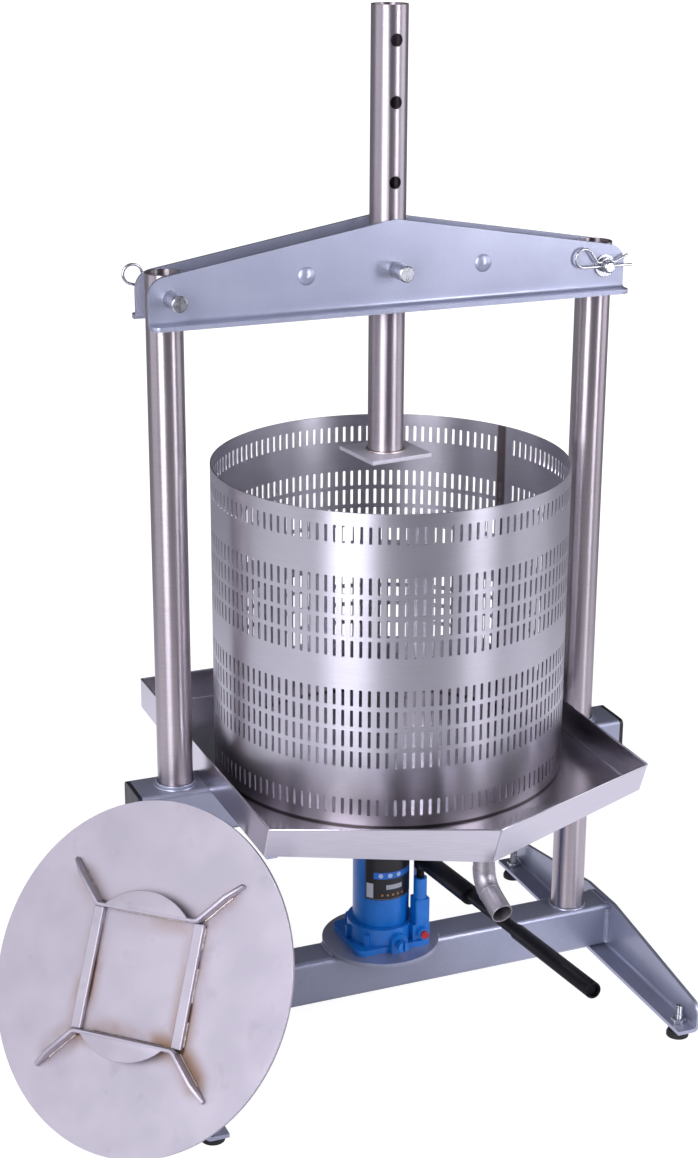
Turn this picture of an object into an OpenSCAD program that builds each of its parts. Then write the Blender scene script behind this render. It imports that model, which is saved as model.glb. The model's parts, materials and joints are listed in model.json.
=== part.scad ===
// Hydraulic fruit press: a floor frame with two columns, a table lifted by a bottle jack, a juice tray,
// a slotted basket, and a press rod hung from a yoke. The press plate leans against the table's left end.
// The front is -Y, X runs from the left column to the right one, and the floor is Z = 0.

/* [Frame] */
// Outside diameter of the columns and of the press rod
tube_d = 42.4; // [34:0.1:60]
// Wall of the columns and of the press rod
tube_wall = 2.6; // [1.5:0.1:5]
// Distance between the column axes
column_span = 540; // [520:1:640]
// Length of a column above the base beam
column_length = 886; // [800:1:1000]
// Height of the base beam
base_h = 60; // [50:1:80]
// Depth of the base beam, front to back
base_d = 50; // [46:1:80]
// Wall of the box sections
box_wall = 3; // [2:0.1:5]
// Outside corner radius of the box sections
box_round = 6; // [4:0.1:10]
// How far a beam runs past a column axis
beam_overhang = 50; // [35:1:70]
// Diameter of the round plate under the jack
pad_d = 150; // [130:1:200]
// Thickness of the round plate under the jack
pad_thick = 6; // [3:0.1:12]

/* [Feet] */
// Length of a foot, front to back
foot_length = 510; // [400:1:700]
// Thickness of the foot's plate
foot_thick = 5; // [3:0.1:8]
// Width of the foot's inner flange
foot_flange = 30; // [26:1:50]
// Height of the foot's web at the middle
foot_rise = 70; // [66:1:100]
// Height of the foot's web at its ends
foot_end_rise = 38; // [30:1:60]
// Length of the level top of the web
foot_level = 70; // [40:1:120]
// Radius of the web's upper ends
foot_round = 16; // [6:1:25]
// Inside radius of the foot's bend
foot_bend = 4; // [1:0.1:8]
// Distance from a foot's end to a levelling stud
stud_inset = 23; // [16:1:60]
// Height of the flange's underside over the floor
foot_clear = 13; // [11:1:40]
// Diameter of a levelling stud
stud_d = 10; // [6:0.1:14]
// Height of a stud's top over the flange
stud_rise = 24; // [12:1:40]
// Width of a levelling nut across its flats
nut_flats = 17; // [13:0.1:24]
// Height of a levelling nut
nut_h = 6; // [3:0.1:10]
// Diameter of a rubber pad
rubber_d = 28; // [20:1:45]
// Height of a rubber pad
rubber_h = 8; // [5:0.1:10]

/* [Table] */
// Height of the table beam
table_h = 60; // [40:1:80]
// Depth of the table beam, front to back
table_d = 60; // [56:1:90]
// Wall of the sleeves that slide on the columns
sleeve_wall = 2.6; // [2:0.1:5]
// How far a sleeve stands over the table beam
sleeve_rise = 5; // [2:0.1:15]
// Thickness of an end cap's flange
cap_thick = 5; // [2:0.1:10]
// Length of an end cap's plug
cap_plug = 14; // [8:1:25]
// Width of the arms under the tray
arm_w = 14; // [8:0.1:25]
// Height of the arms under the tray
arm_h = 11; // [9:0.1:25]

/* [Tray] */
// Width of the tray
tray_w = 478; // [440:1:490]
// Distance from the column plane to the tray's back
tray_back = 241; // [220:1:300]
// Distance from the column plane to the tray's front corners
tray_front = 240; // [232:1:300]
// How far the pointed front stands out
tray_point = 96; // [60:1:140]
// Height of the tray's wall
tray_h = 40; // [25:1:70]
// How far the pointed front's walls lean out, in degrees
tray_lean = 22; // [0:1:30]
// Fall of the tray's floor from its front corners to its point
tray_fall = 9; // [0:0.1:15]
// Thickness of the tray's sheet
tray_sheet = 1.5; // [1:0.1:3]
// Outside diameter of the spout
spout_d = 25; // [16:0.1:35]
// Wall of the spout
spout_wall = 1.5; // [1:0.1:3]
// Distance from the tray's point back to the spout
spout_inset = 42; // [30:1:70]
// Drop of the spout's upright leg
spout_drop = 44; // [30:1:60]
// Length of the spout's forward leg
spout_reach = 52; // [30:1:80]
// Fall of the spout's forward leg in degrees
spout_fall = 18; // [0:1:45]
// Radius of the spout's bend along its middle
spout_bend = 26; // [20:1:32]
// How far the spout's welded bend stands out over its legs
spout_step = 0.4; // [0.3:0.1:1]

/* [Basket] */
// Outside diameter of the basket
basket_d = 427; // [380:1:436]
// Height of the basket
basket_h = 377; // [345:1:379]
// Thickness of the basket's sheet
basket_sheet = 1.5; // [1:0.1:3]
// How far forward of the rod the basket stands
basket_forward = 16; // [0:1:18]
// Number of slots in a row, with the welded seam in place of one
slot_count = 66; // [24:1:132]
// Width of a slot
slot_w = 3.6; // [2:0.1:6]
// Height of a slot
slot_h = 20; // [12:0.1:24]
// Plain height between two rows of a band
slot_gap = 5; // [3:0.1:8]
// Plain height at the basket's rims
rim_plain = 15; // [8:0.1:20]
// Place of the welded seam in degrees from +X
seam_angle = 32; // [0:1:359]

/* [Yoke] */
// Thickness of the yoke's plates
yoke_thick = 5; // [3:0.1:8]
// How far the plates run past a column axis
yoke_overhang = 26; // [24:1:36]
// Height of the plates at the rod
yoke_rise = 103; // [90:1:130]
// Height of the plates at the columns
yoke_end_rise = 57; // [50:1:70]
// Outside width of the bottom flanges
yoke_flange = 25; // [12:1:40]
// Radius of the plates' upper ends
yoke_end_round = 22; // [10:1:24]
// Radius of the plates' top at the rod
yoke_top_round = 45; // [30:1:60]
// Radius of the corners of the bottom flanges
flange_round = 10; // [3:0.1:15]
// Inside radius of the plates' bend
yoke_bend = 4; // [1:0.1:8]
// Height of the column pins over the flanges' undersides
pin_height = 32; // [26:1:40]
// Height of the rod's pin over the column pins
rod_pin_rise = 14; // [0:1:30]
// Distance from the rod to a spacer
spacer_reach = 110; // [60:1:180]
// Diameter of a spacer
spacer_d = 16; // [10:0.1:22]
// Diameter of a spacer's domed head
spacer_head_d = 22; // [18:0.1:30]
// Height of a spacer's domed head
spacer_head_h = 4; // [2:0.1:6]

/* [Pins] */
// Diameter of a pin's shank
pin_d = 14; // [10:0.1:16]
// Diameter of a pin's head
pin_head_d = 19; // [17:0.1:26]
// Length of a pin's head
pin_head = 32; // [10:1:50]
// Chamfer of a pin's ends
pin_chamfer = 1.5; // [0.5:0.1:2]
// Length of a pin's tail past its washer
pin_tail = 13; // [10:0.1:18]
// Diameter of a washer
washer_d = 27; // [20:0.1:34]
// Thickness of a washer
washer_thick = 2.5; // [1:0.1:4]
// Diameter of a spring clip's wire
clip_wire = 3.2; // [2:0.1:4]
// Length of a spring clip's straight leg on either side of its pin
clip_reach = 34; // [24:1:45]
// Radius of a spring clip's loop
clip_loop = 11; // [8:0.1:14]
// Radius of a spring clip's small bends
clip_bend = 5; // [3:0.1:8]

/* [Press rod] */
// Length of the press rod
rod_length = 513; // [420:1:540]
// Height of the rod's top over its pin
rod_above = 293; // [240:1:300]
// Distances of the free cross-holes from the rod's top
rod_holes = [38, 106, 195]; // [20:1:240]
// Side of the square foot plate
foot_plate = 80; // [60:1:110]
// Thickness of the square foot plate
foot_plate_thick = 5; // [3:0.1:10]
// Turn of the square foot plate, in degrees
foot_plate_turn = 7; // [-45:1:45]

/* [Press plate] */
// Diameter of the press plate
disc_d = 409; // [370:1:412]
// Thickness of the press plate
disc_thick = 4; // [3:0.1:6]
// Direction that the leaning plate faces, in degrees from +X
disc_facing = -146; // [-155:1:-130]
// How far the plate leans back, in degrees
disc_lean = 30; // [20:1:36]
// Turn of the socket on the plate, in degrees
socket_turn = 7; // [-20:1:20]
// How far under the table's top the plate's rim meets the end cap
disc_drop = 1.56; // [1:0.01:20]
// Side of the square socket between the centres of its bars
socket_side = 142; // [120:1:170]
// Width of a side bar
side_bar_w = 14; // [8:0.1:25]
// Height of a side bar
side_bar_h = 6; // [3:0.1:12]
// Height of a rib
rib_h = 14; // [8:0.1:25]
// Thickness of a rib
rib_thick = 5; // [3:0.1:8]
// Length of a rib's bent arm
rib_arm = 70; // [40:1:80]
// Height of a rib's arm at its tip
rib_tip = 5; // [2:0.1:10]
// Bend of a rib's arms in degrees
rib_bend = 45; // [30:1:60]
// Reach of a rib's half-moon lip
lip_reach = 22; // [12:0.1:30]
// Thickness of a rib's half-moon lip
lip_thick = 3; // [2:0.1:5]

/* [Jack] */
// Closed height of the jack
jack_height = 201; // [196:1:230]
// Width of the jack's base
jack_w = 100; // [96:1:120]
// Depth of the jack's base
jack_d = 90; // [86:1:110]
// Height of the jack's base
jack_base_h = 30; // [24:1:36]
// Corner radius of the jack's base
jack_round = 12; // [6:1:20]
// Height of the flange round the jack's base
jack_flange_h = 8; // [5:0.1:12]
// Diameter of the collar that carries the reservoir
jack_collar_d = 86; // [80:1:88]
// Width of the ribs on the jack's base
jack_rib = 6; // [3:0.1:10]
// Outside diameter of the reservoir
reservoir_d = 72; // [66:0.1:74]
// Height of the reservoir
reservoir_h = 121; // [116:1:124]
// Wall of the reservoir
reservoir_wall = 3; // [2:0.1:5]
// Diameter of the ram
ram_d = 32; // [26:0.1:36]
// Lift of the ram and of the table
ram_lift = 105; // [60:1:108]
// Wall of the pressure cylinder
cylinder_wall = 5; // [3:0.1:8]
// Height of the gland nut's hexagon
gland_h = 16; // [10:0.1:20]
// Thickness of the gland nut's collar
gland_collar = 5; // [3:0.1:8]
// How far the ram stands out of its gland
ram_stand = 6; // [3:0.1:10]
// Diameter of the extension screw
screw_d = 18; // [12:0.1:20]
// Diameter of the extension screw's saddle
saddle_d = 30; // [26:0.1:40]
// Distance of the release valve right of the ram
valve_x = 5; // [-10:0.1:10]
// Height of the release valve over the jack's foot
valve_z = 14; // [12:0.1:16]
// Diameter of the release valve's boss
valve_boss_d = 22; // [18:0.1:24]
// Length of the release valve's boss
valve_boss = 6; // [3:0.1:10]
// Diameter of the release valve's stem
valve_d = 10; // [6:0.1:12]
// Length of the release valve outside its boss
valve_stem = 13; // [8:0.1:20]
// Diameter of the release valve's slotted head
valve_head_d = 14; // [11:0.1:16]
// Width of the slot in the release valve's head
valve_slot = 3; // [1:0.1:5]
// Height of the filler plug over the jack's foot
plug_z = 18; // [14:0.1:19]
// Diameter of the filler plug's boss
plug_boss_d = 16; // [13:0.1:18]
// Length of the filler plug's boss
plug_boss = 3; // [1:0.1:6]
// Diameter of the filler plug's shank
plug_d = 7; // [5:0.1:9]
// Diameter of the filler plug's head
plug_head_d = 10; // [9:0.1:12]
// How far the filler plug stands out of its boss
plug_stand = 4; // [2:0.1:8]

/* [Pump] */
// Distance of the pump right of the ram
pump_x = 40; // [39.5:0.1:42]
// Distance of the pump forward of the ram
pump_y = 33; // [30:0.1:33]
// Side of the pump block
pump_block = 20; // [18:0.1:20]
// Height of the pump block
pump_block_h = 34; // [24:1:40]
// Corner radius of the pump block
block_round = 3; // [1:0.1:6]
// Diameter of the pump barrel
barrel_d = 17; // [14:0.1:20]
// Height of the pump barrel
barrel_h = 28; // [20:1:30]
// Diameter of the plunger
plunger_d = 10; // [8:0.1:11]
// Height of the lever's pivot over the jack's foot
pivot_z = 118; // [114:1:126]
// Distance from the pivot forward to the plunger
pump_arm = 21; // [20:0.1:22]
// Diameter of the pivot pin
pivot_d = 8; // [5:0.1:9]
// Diameter of the pivot pin's head
pivot_head_d = 12; // [9.5:0.1:14]
// Depth of the plunger's fork, front to back
fork_d = 12; // [9:0.1:14]
// Height of the plunger's fork under its slot
fork_foot = 4; // [2:0.1:6]
// Diameter of the plunger's cross pin
cross_pin_d = 6; // [4:0.1:7]
// Thickness of the lever's tongue
tongue_thick = 6; // [4:0.1:7]
// Height of the lever's tongue
tongue_h = 15; // [14:0.1:18]
// Rise of the pump handle in degrees
handle_rise = 6.4; // [5:0.1:8]
// Outside diameter of the handle socket
socket_d = 24; // [20:0.1:25]
// Distance from the pivot to the socket's near end
socket_near = 40; // [38:1:50]
// Distance from the pivot to the socket's far end
socket_far = 168; // [120:1:200]
// Diameter of the handle's rod
handle_d = 15; // [12:0.1:16]
// Distance from the pivot to the start of the grip
grip_near = 294; // [240:1:320]
// Distance from the pivot to the handle's end
handle_far = 476; // [400:1:500]
// Thickness of the grip's closed end
grip_end = 4; // [2:0.1:8]
// Diameter of the grip
grip_d = 18.5; // [17:0.1:22]

/* [Fits] */
// Gap between a sleeve and its column
slide_clear = 0.4; // [0.2:0.05:0.6]
// Gap between faces of pieces that move past each other
move_clear = 0.3; // [0.2:0.05:0.5]
// Gap of a turned or ground running fit
run_clear = 0.06; // [0.02:0.01:0.1]
// Gap of a side fit in a fork
fork_clear = 0.5; // [0.3:0.05:0.8]
// Gap at the bottom of a blind hole
blind_clear = 6; // [2:0.1:8]

/* [Hidden] */
$fn = 96;
cut = 2 * box_wall;
join_share = 0.999;
tube_r = tube_d / 2;
beam_half = column_span / 2 + beam_overhang;
base_z = foot_clear + foot_thick;
base_top = base_z + base_h;
jack_z = base_top + pad_thick;
table_z = jack_z + jack_height;
table_top = table_z + table_h;
column_top = base_top + column_length;
stud_x = beam_half + foot_thick - foot_flange / 2 - foot_thick / 2;
stud_y = foot_length / 2 - stud_inset;
sleeve_r = tube_r + slide_clear + sleeve_wall;
floor_top = table_top + tray_sheet;
floor_front = tray_front - tray_h * tan(tray_lean);
basket_r = basket_d / 2;
slot_rows = 10;
plain_bands = 3;
band_gaps = 6;
plain_band = (basket_h - 2 * rim_plain - slot_rows * slot_h - band_gaps * slot_gap) / plain_bands;
slot_step = slot_h + slot_gap;
band_step = slot_h + plain_band;
band_start = rim_plain + band_step;
second_start = band_start + 3 * slot_step + band_step;
last_start = second_start + 3 * slot_step + band_step;
slot_rows_z = [
  rim_plain,
  for (row = [0 : 3]) band_start + row * slot_step,
  for (row = [0 : 3]) second_start + row * slot_step,
  last_start,
];
plate_y = tube_r + move_clear;
plate_out = plate_y + yoke_thick;
yoke_half = column_span / 2 + yoke_overhang;
yoke_z = column_top - yoke_end_rise;
pin_z = yoke_z + pin_height;
rod_pin_z = pin_z + rod_pin_rise;
rod_top = rod_pin_z + rod_above;
rod_bottom = rod_top - rod_length;
clip_y = plate_out + washer_thick + clip_wire;
wire_sides = 10;
disc_r = disc_d / 2;
disc_normal = [cos(disc_facing) * cos(disc_lean), sin(disc_facing) * cos(disc_lean), sin(disc_lean)];
disc_side = [-sin(disc_facing), cos(disc_facing), 0];
disc_up = cross(disc_normal, disc_side);
disc_gap = move_clear + disc_thick / 2 * disc_up.z / disc_normal.z;
disc_reach = disc_r + disc_gap;
disc_lift = disc_r * disc_up.z + disc_thick / 2 * disc_normal.z;
disc_seat = acos(min(1, (table_top - disc_drop - disc_lift) / (disc_r * disc_up.z)));
disc_point = disc_reach * (cos(disc_seat) * disc_up - sin(disc_seat) * disc_side);
disc_x = -(beam_half + cap_thick) - disc_point.x;
disc_y = -table_d / 2 - disc_point.y;
jack_top = jack_z + jack_base_h;
reservoir_top = jack_top + reservoir_h;
gland_top = reservoir_top + gland_h;
ram_top = gland_top + ram_stand;
ram_bottom = jack_top + box_round;
screw_bottom = ram_bottom + ram_lift * 2 / 3;
valve_h = jack_z + valve_z;
valve_front = jack_d / 2 + valve_boss;
valve_back = valve_front - valve_stem;
valve_end = valve_front + valve_stem;
plug_h = jack_z + plug_z;
plug_front = jack_d / 2 + plug_boss;
plug_back = plug_front - plug_d - blind_clear;
plunger_bottom = jack_top + pump_block_h / 2;
block_top = jack_top + pump_block_h;
barrel_top = block_top + barrel_h;
pivot_h = jack_z + pivot_z;
pivot_y = -pump_y + pump_arm;
cross_z = pivot_h + pump_arm * tan(handle_rise);
cross_reach = pump_arm / cos(handle_rise);
tongue_half = tongue_thick / 2;
fork_bottom = cross_z - tongue_h * 3 / 4 - fork_foot;
fork_half = tongue_half + fork_clear;
cheek = tongue_thick / 2;
post_x = pump_x + tongue_half + fork_clear;
post_thick = tongue_thick;
lobe_d = jack_d / 2 - block_round + pivot_y + tongue_h;

box_right = beam_half + max(cap_thick, foot_thick);
box_left = disc_x - disc_r * norm([disc_normal.y, disc_normal.z]) + disc_thick / 2 * disc_normal.x;
box_front = pivot_y - handle_far * cos(handle_rise) - grip_d / 2 * sin(handle_rise);
box_back = foot_length / 2;
mid_x = -(box_right + box_left) / 2;
mid_y = -(box_front + box_back) / 2;

frame_grey = [0.66, 0.68, 0.76];
steel = [0.78, 0.77, 0.79];
zinc = [0.72, 0.72, 0.70];
black = [0.08, 0.08, 0.09];
blue = [0.10, 0.26, 0.62];
red = [0.75, 0.08, 0.08];

// Puts the middle of the press's box over the origin.
module placed() {
  translate([mid_x, mid_y, 0])
    children();
}

module rounded_rect(w, h, r) {
  square([w - 2 * r, h], center = true);
  square([w, h - 2 * r], center = true);
  for (sx = [-1, 1], sy = [-1, 1])
    translate([sx * (w / 2 - r), sy * (h / 2 - r)])
      circle(r);
}

// A box section along X, centred on the origin.
module box_section(length, d, h) {
  rotate([90, 0, 90])
    linear_extrude(length, center = true)
      difference() {
        rounded_rect(d, h, box_round);
        rounded_rect(d - 2 * box_wall, h - 2 * box_wall, box_round - box_wall);
      }
}

module tube(r, wall, h) {
  difference() {
    cylinder(r = r, h = h);
    translate([0, 0, -cut])
      cylinder(r = r - wall, h = h + 2 * cut);
  }
}

// The base beam, its lower ends cut back to clear the bends of the feet.
module base_beam() {
  color(frame_grey) placed()
    difference() {
      translate([0, 0, base_z + base_h / 2])
        box_section(2 * beam_half, base_d, base_h);
      for (sx = [-1, 1])
        translate([sx * beam_half, 0, base_z])
          rotate([0, 45, 0])
            cube([sqrt(2) * foot_bend, base_d + 2 * cut, sqrt(2) * foot_bend], center = true);
    }
}

module jack_pad_plate() {
  color(frame_grey) placed()
    translate([0, 0, base_top])
      cylinder(d = pad_d, h = pad_thick);
}

// The outline of a foot's web in its own plane: length along X, height along Y.
module web_outline() {
  half = foot_length / 2;
  round_y = foot_end_rise - foot_round;
  dx = half - foot_round - foot_level / 2;
  dy = foot_rise - foot_end_rise;
  slope = atan2(dy, dx);
  for (s = [-1, 1])
    scale([s, 1]) {
      translate([half - foot_round, round_y])
        circle(foot_round);
      polygon([
        [0, 0],
        [half, 0],
        [half, round_y],
        [half - foot_round, round_y],
        [half - foot_round + foot_round * sin(slope), round_y + foot_round * cos(slope)],
        [foot_level / 2, foot_rise],
        [0, foot_rise],
      ]);
    }
}

// A bent plate's profile: one leg along +X and one along +Y, with a round bend at the origin.
module angle_profile(leg_x, leg_y, thick, bend) {
  outer = bend + thick;
  translate([outer, 0])
    square([leg_x - outer, thick]);
  translate([0, outer])
    square([thick, leg_y - outer]);
  intersection() {
    square(outer);
    translate([outer, outer])
      difference() {
        circle(outer);
        circle(bend);
      }
  }
}

// A foot on the right: a bent angle whose web is trimmed to its outline.
module foot() {
  difference() {
    intersection() {
      translate([beam_half + foot_thick, foot_length / 2, foot_clear])
        rotate([90, 0, 0])
          linear_extrude(foot_length)
            scale([-1, 1])
              angle_profile(foot_flange, foot_rise, foot_thick, foot_bend);
      translate([beam_half - foot_flange, 0, foot_clear])
        rotate([90, 0, 90])
          linear_extrude(2 * foot_flange)
            web_outline();
    }
    for (sy = [-1, 1])
      translate([stud_x, sy * stud_y, foot_clear - cut])
        cylinder(d = stud_d + 2 * move_clear, h = foot_thick + 2 * cut);
  }
}

module left_foot() {
  color(frame_grey) placed()
    rotate(180)
      foot();
}

module right_foot() {
  color(frame_grey) placed()
    foot();
}

module column(side) {
  difference() {
    translate([side * column_span / 2, 0, base_top])
      tube(tube_r, tube_wall, column_length);
    translate([side * column_span / 2, 0, pin_z])
      rotate([90, 0, 0])
        cylinder(d = pin_d + 2 * move_clear, h = tube_d + 2 * cut, center = true);
  }
}

module left_column() {
  color(steel) placed()
    column(-1);
}

module right_column() {
  color(steel) placed()
    column(1);
}

module hexagon_nut(flats, h, bore) {
  difference() {
    cylinder(d = flats / cos(30), h = h, $fn = 6);
    translate([0, 0, -cut])
      cylinder(d = bore, h = h + 2 * cut);
  }
}

module levelling_nuts() {
  color(zinc) placed()
    for (sx = [-1, 1], sy = [-1, 1])
      translate([sx * stud_x, sy * stud_y, base_z])
        rotate(30)
          hexagon_nut(nut_flats, nut_h, stud_d + 2 * run_clear);
}

module stud(sx, sy) {
  color(zinc) placed()
    translate([sx * stud_x, sy * stud_y, rubber_h])
      cylinder(d = stud_d, h = base_z + stud_rise - rubber_h);
}

module front_left_stud() {
  stud(-1, -1);
}

module front_right_stud() {
  stud(1, -1);
}

module back_left_stud() {
  stud(-1, 1);
}

module back_right_stud() {
  stud(1, 1);
}

// A rubber pad narrows a little towards the stud.
module rubber(sx, sy) {
  color(black) placed()
    translate([sx * stud_x, sy * stud_y, 0]) {
      cylinder(d = rubber_d, h = rubber_h / 2);
      translate([0, 0, rubber_h / 2])
        cylinder(r1 = rubber_d / 2, r2 = rubber_d / 2 - rubber_h / 4, h = rubber_h / 2);
    }
}

module front_left_rubber() {
  rubber(-1, -1);
}

module front_right_rubber() {
  rubber(1, -1);
}

module back_left_rubber() {
  rubber(-1, 1);
}

module back_right_rubber() {
  rubber(1, 1);
}

module table_beam() {
  color(frame_grey) placed()
    difference() {
      translate([0, 0, table_z + table_h / 2])
        box_section(2 * beam_half, table_d, table_h);
      for (sx = [-1, 1])
        translate([sx * column_span / 2, 0, table_z - cut])
          cylinder(r = sleeve_r, h = table_h + 2 * cut);
    }
}

module sleeve(side) {
  color(frame_grey) placed()
    translate([side * column_span / 2, 0, table_z])
      tube(sleeve_r, sleeve_wall, table_h + sleeve_rise);
}

module left_sleeve() {
  sleeve(-1);
}

module right_sleeve() {
  sleeve(1);
}

module end_cap(side) {
  inner_d = table_d - 2 * box_wall;
  inner_h = table_h - 2 * box_wall;
  inner_round = box_round - box_wall;
  color(black) placed()
    translate([side * beam_half, 0, table_z + table_h / 2])
      rotate([90, 0, 90]) {
        translate([0, 0, side > 0 ? 0 : -cap_thick])
          linear_extrude(cap_thick)
            rounded_rect(table_d, table_h, box_round);
        translate([0, 0, side > 0 ? -cap_plug : 0])
          linear_extrude(cap_plug)
            difference() {
              rounded_rect(inner_d, inner_h, inner_round);
              rounded_rect(inner_d - 2 * box_wall, inner_h - 2 * box_wall, inner_round);
            }
      }
}

module left_end_cap() {
  end_cap(-1);
}

module right_end_cap() {
  end_cap(1);
}

module table_arms() {
  arm_x = tray_w / 2 - arm_w;
  color(frame_grey) placed()
    for (sx = [-1, 1]) {
      translate([sx * arm_x - arm_w / 2, -floor_front + arm_h, table_top - arm_h])
        cube([arm_w, floor_front - arm_h - table_d / 2, arm_h]);
      translate([sx * arm_x - arm_w / 2, table_d / 2, table_top - arm_h])
        cube([arm_w, tray_back - box_wall - table_d / 2, arm_h]);
    }
}

// The tray's solid, drawn in by a given thickness: upright sides and back, and a pointed front that leans
// out over a floor that falls to the point.
module tray_solid(inset, extra) {
  half = tray_w / 2 - inset;
  back = tray_back - inset;
  slope = atan2(tray_point, tray_w / 2);
  stand = tan(tray_lean);
  corner = -tray_front - inset * tan(slope) + inset / cos(slope);
  apex = -tray_front - tray_point + inset / cos(slope);
  rim = table_top + tray_h;
  low = table_top + inset;
  rim_y = [back, corner, apex, corner, back];
  plan_x = [-half, -half, 0, half, half];
  low_z = [low, low, low - tray_fall, low, low];
  lean = [0, stand, stand, stand, 0];
  points = [
    for (i = [0 : 4]) [plan_x[i], rim_y[i] - extra * lean[i], rim + extra],
    for (i = [0 : 4]) [plan_x[i], rim_y[i] + (rim - low_z[i]) * lean[i], low_z[i]],
  ];
  walls = [for (i = [0 : 4]) [i, (i + 1) % 5, (i + 1) % 5 + 5, i + 5]];
  polyhedron(points, concat([[0, 4, 3, 2, 1], [5, 6, 8, 9], [6, 7, 8]], walls));
}

module spout_place() {
  translate([0, -tray_front - tray_point + spout_inset, table_top])
    children();
}

module tray() {
  color(steel) placed()
    difference() {
      tray_solid(0, 0);
      tray_solid(tray_sheet, cut);
      spout_place()
        translate([0, 0, -spout_drop])
          cylinder(d = spout_d - 2 * spout_wall, h = spout_drop + tray_h);
    }
}

// The spout's course: an upright leg under the tray's floor, a welded bend that laps over both legs,
// and a forward leg with a small fall.
module spout_course(r, extra) {
  turn = 90 - spout_fall;
  run = spout_bend * tan(turn / 2);
  leg_start = run - spout_wall;
  translate([0, 0, leg_start - spout_drop])
    cylinder(r = r, h = spout_drop - leg_start + extra);
  translate([0, -spout_bend, run - spout_drop])
    rotate([90, 0, 90])
      rotate_extrude(angle = -turn)
        translate([spout_bend, 0])
          circle(r + spout_step);
  translate([0, 0, -spout_drop])
    rotate([90 + spout_fall, 0, 0])
      translate([0, 0, leg_start])
        cylinder(r = r, h = spout_reach - leg_start + extra);
}

module spout() {
  color(steel) placed()
    difference() {
      spout_place()
        difference() {
          spout_course(spout_d / 2, 0);
          spout_course(spout_d / 2 - spout_wall, cut);
        }
      tray_solid(0, 0);
    }
}

module basket() {
  color(steel) placed()
    translate([0, -basket_forward, floor_top])
      difference() {
        tube(basket_r, basket_sheet, basket_h);
        for (z = slot_rows_z, i = [1 : slot_count - 1])
          rotate(seam_angle + i * 360 / slot_count)
            translate([basket_r - basket_sheet - cut, -slot_w / 2, z])
              cube([basket_sheet + 2 * cut, slot_w, slot_h]);
      }
}

// A yoke plate's outline: low rounded ends, straight rises and a high rounded top.
module yoke_outline() {
  end_x = yoke_half - yoke_end_round;
  end_z = yoke_end_rise - yoke_end_round;
  top_z = yoke_rise - yoke_top_round;
  run = norm([end_x, end_z - top_z]);
  tilt = atan2(end_z - top_z, end_x) + acos((yoke_top_round - yoke_end_round) / run);
  end_r = join_share * yoke_end_round;
  top_r = join_share * yoke_top_round;
  side = [
    [end_x + end_r, 0],
    [end_x + end_r, end_z],
    [end_x + end_r * cos(tilt), end_z + end_r * sin(tilt)],
    [top_r * cos(tilt), top_z + top_r * sin(tilt)],
  ];
  polygon(concat(side, [for (i = [len(side) - 1 : -1 : 0]) [-side[i].x, side[i].y]]));
  translate([0, top_z])
    circle(yoke_top_round);
  for (sx = [-1, 1])
    translate([sx * end_x, end_z])
      circle(yoke_end_round);
}

// The flat bottom flange, seen from above, with its outer corners rounded.
module yoke_flange_outline() {
  translate([-yoke_half, 0])
    square([2 * yoke_half, yoke_flange - flange_round]);
  translate([-yoke_half + flange_round, 0])
    square([2 * yoke_half - 2 * flange_round, yoke_flange]);
  for (sx = [-1, 1])
    translate([sx * (yoke_half - flange_round), yoke_flange - flange_round])
      circle(flange_round);
}

// The front plate, with its flange towards the front.
module yoke_plate() {
  difference() {
    intersection() {
      translate([-yoke_half - cut, -plate_y, yoke_z])
        rotate([90, 0, 90])
          linear_extrude(2 * yoke_half + 2 * cut)
            scale([-1, 1])
              angle_profile(yoke_flange, yoke_rise, yoke_thick, yoke_bend);
      translate([0, -plate_y + cut, yoke_z])
        rotate([90, 0, 0])
          linear_extrude(yoke_flange + 2 * cut)
            yoke_outline();
      translate([0, -plate_y, yoke_z - cut])
        scale([1, -1, 1])
          linear_extrude(yoke_rise + 2 * cut)
            yoke_flange_outline();
    }
    for (sx = [-1, 1])
      translate([sx * column_span / 2, -plate_y, pin_z])
        rotate([90, 0, 0])
          cylinder(d = pin_d + 2 * move_clear, h = 2 * yoke_thick + 2 * cut, center = true);
    translate([0, -plate_y, rod_pin_z])
      rotate([90, 0, 0])
        cylinder(d = pin_d + 2 * move_clear, h = 2 * yoke_thick + 2 * cut, center = true);
    for (sx = [-1, 1])
      translate([sx * spacer_reach, -plate_y, rod_pin_z])
        rotate([90, 0, 0])
          cylinder(d = pin_d, h = 2 * yoke_thick + 2 * cut, center = true);
  }
}

module yoke_front_plate() {
  color(frame_grey) placed()
    yoke_plate();
}

module yoke_back_plate() {
  color(frame_grey) placed()
    rotate(180)
      yoke_plate();
}

// A riveted spacer: a thick middle between the plates, thin necks in them and a domed head on either side.
module yoke_spacers() {
  dome_r = (spacer_head_d * spacer_head_d / 4 + spacer_head_h * spacer_head_h) / (2 * spacer_head_h);
  color(frame_grey) placed()
    for (sx = [-1, 1])
      translate([sx * spacer_reach, 0, rod_pin_z])
        rotate([90, 0, 0]) {
          cylinder(d = spacer_d, h = 2 * plate_y, center = true);
          cylinder(d = pin_d, h = 2 * plate_out, center = true);
          for (s = [-1, 1])
            scale([1, 1, s])
              intersection() {
                translate([0, 0, plate_out + spacer_head_h - dome_r])
                  sphere(dome_r);
                translate([0, 0, plate_out])
                  cylinder(d = 2 * spacer_head_d, h = 2 * spacer_head_h);
              }
        }
}

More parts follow.
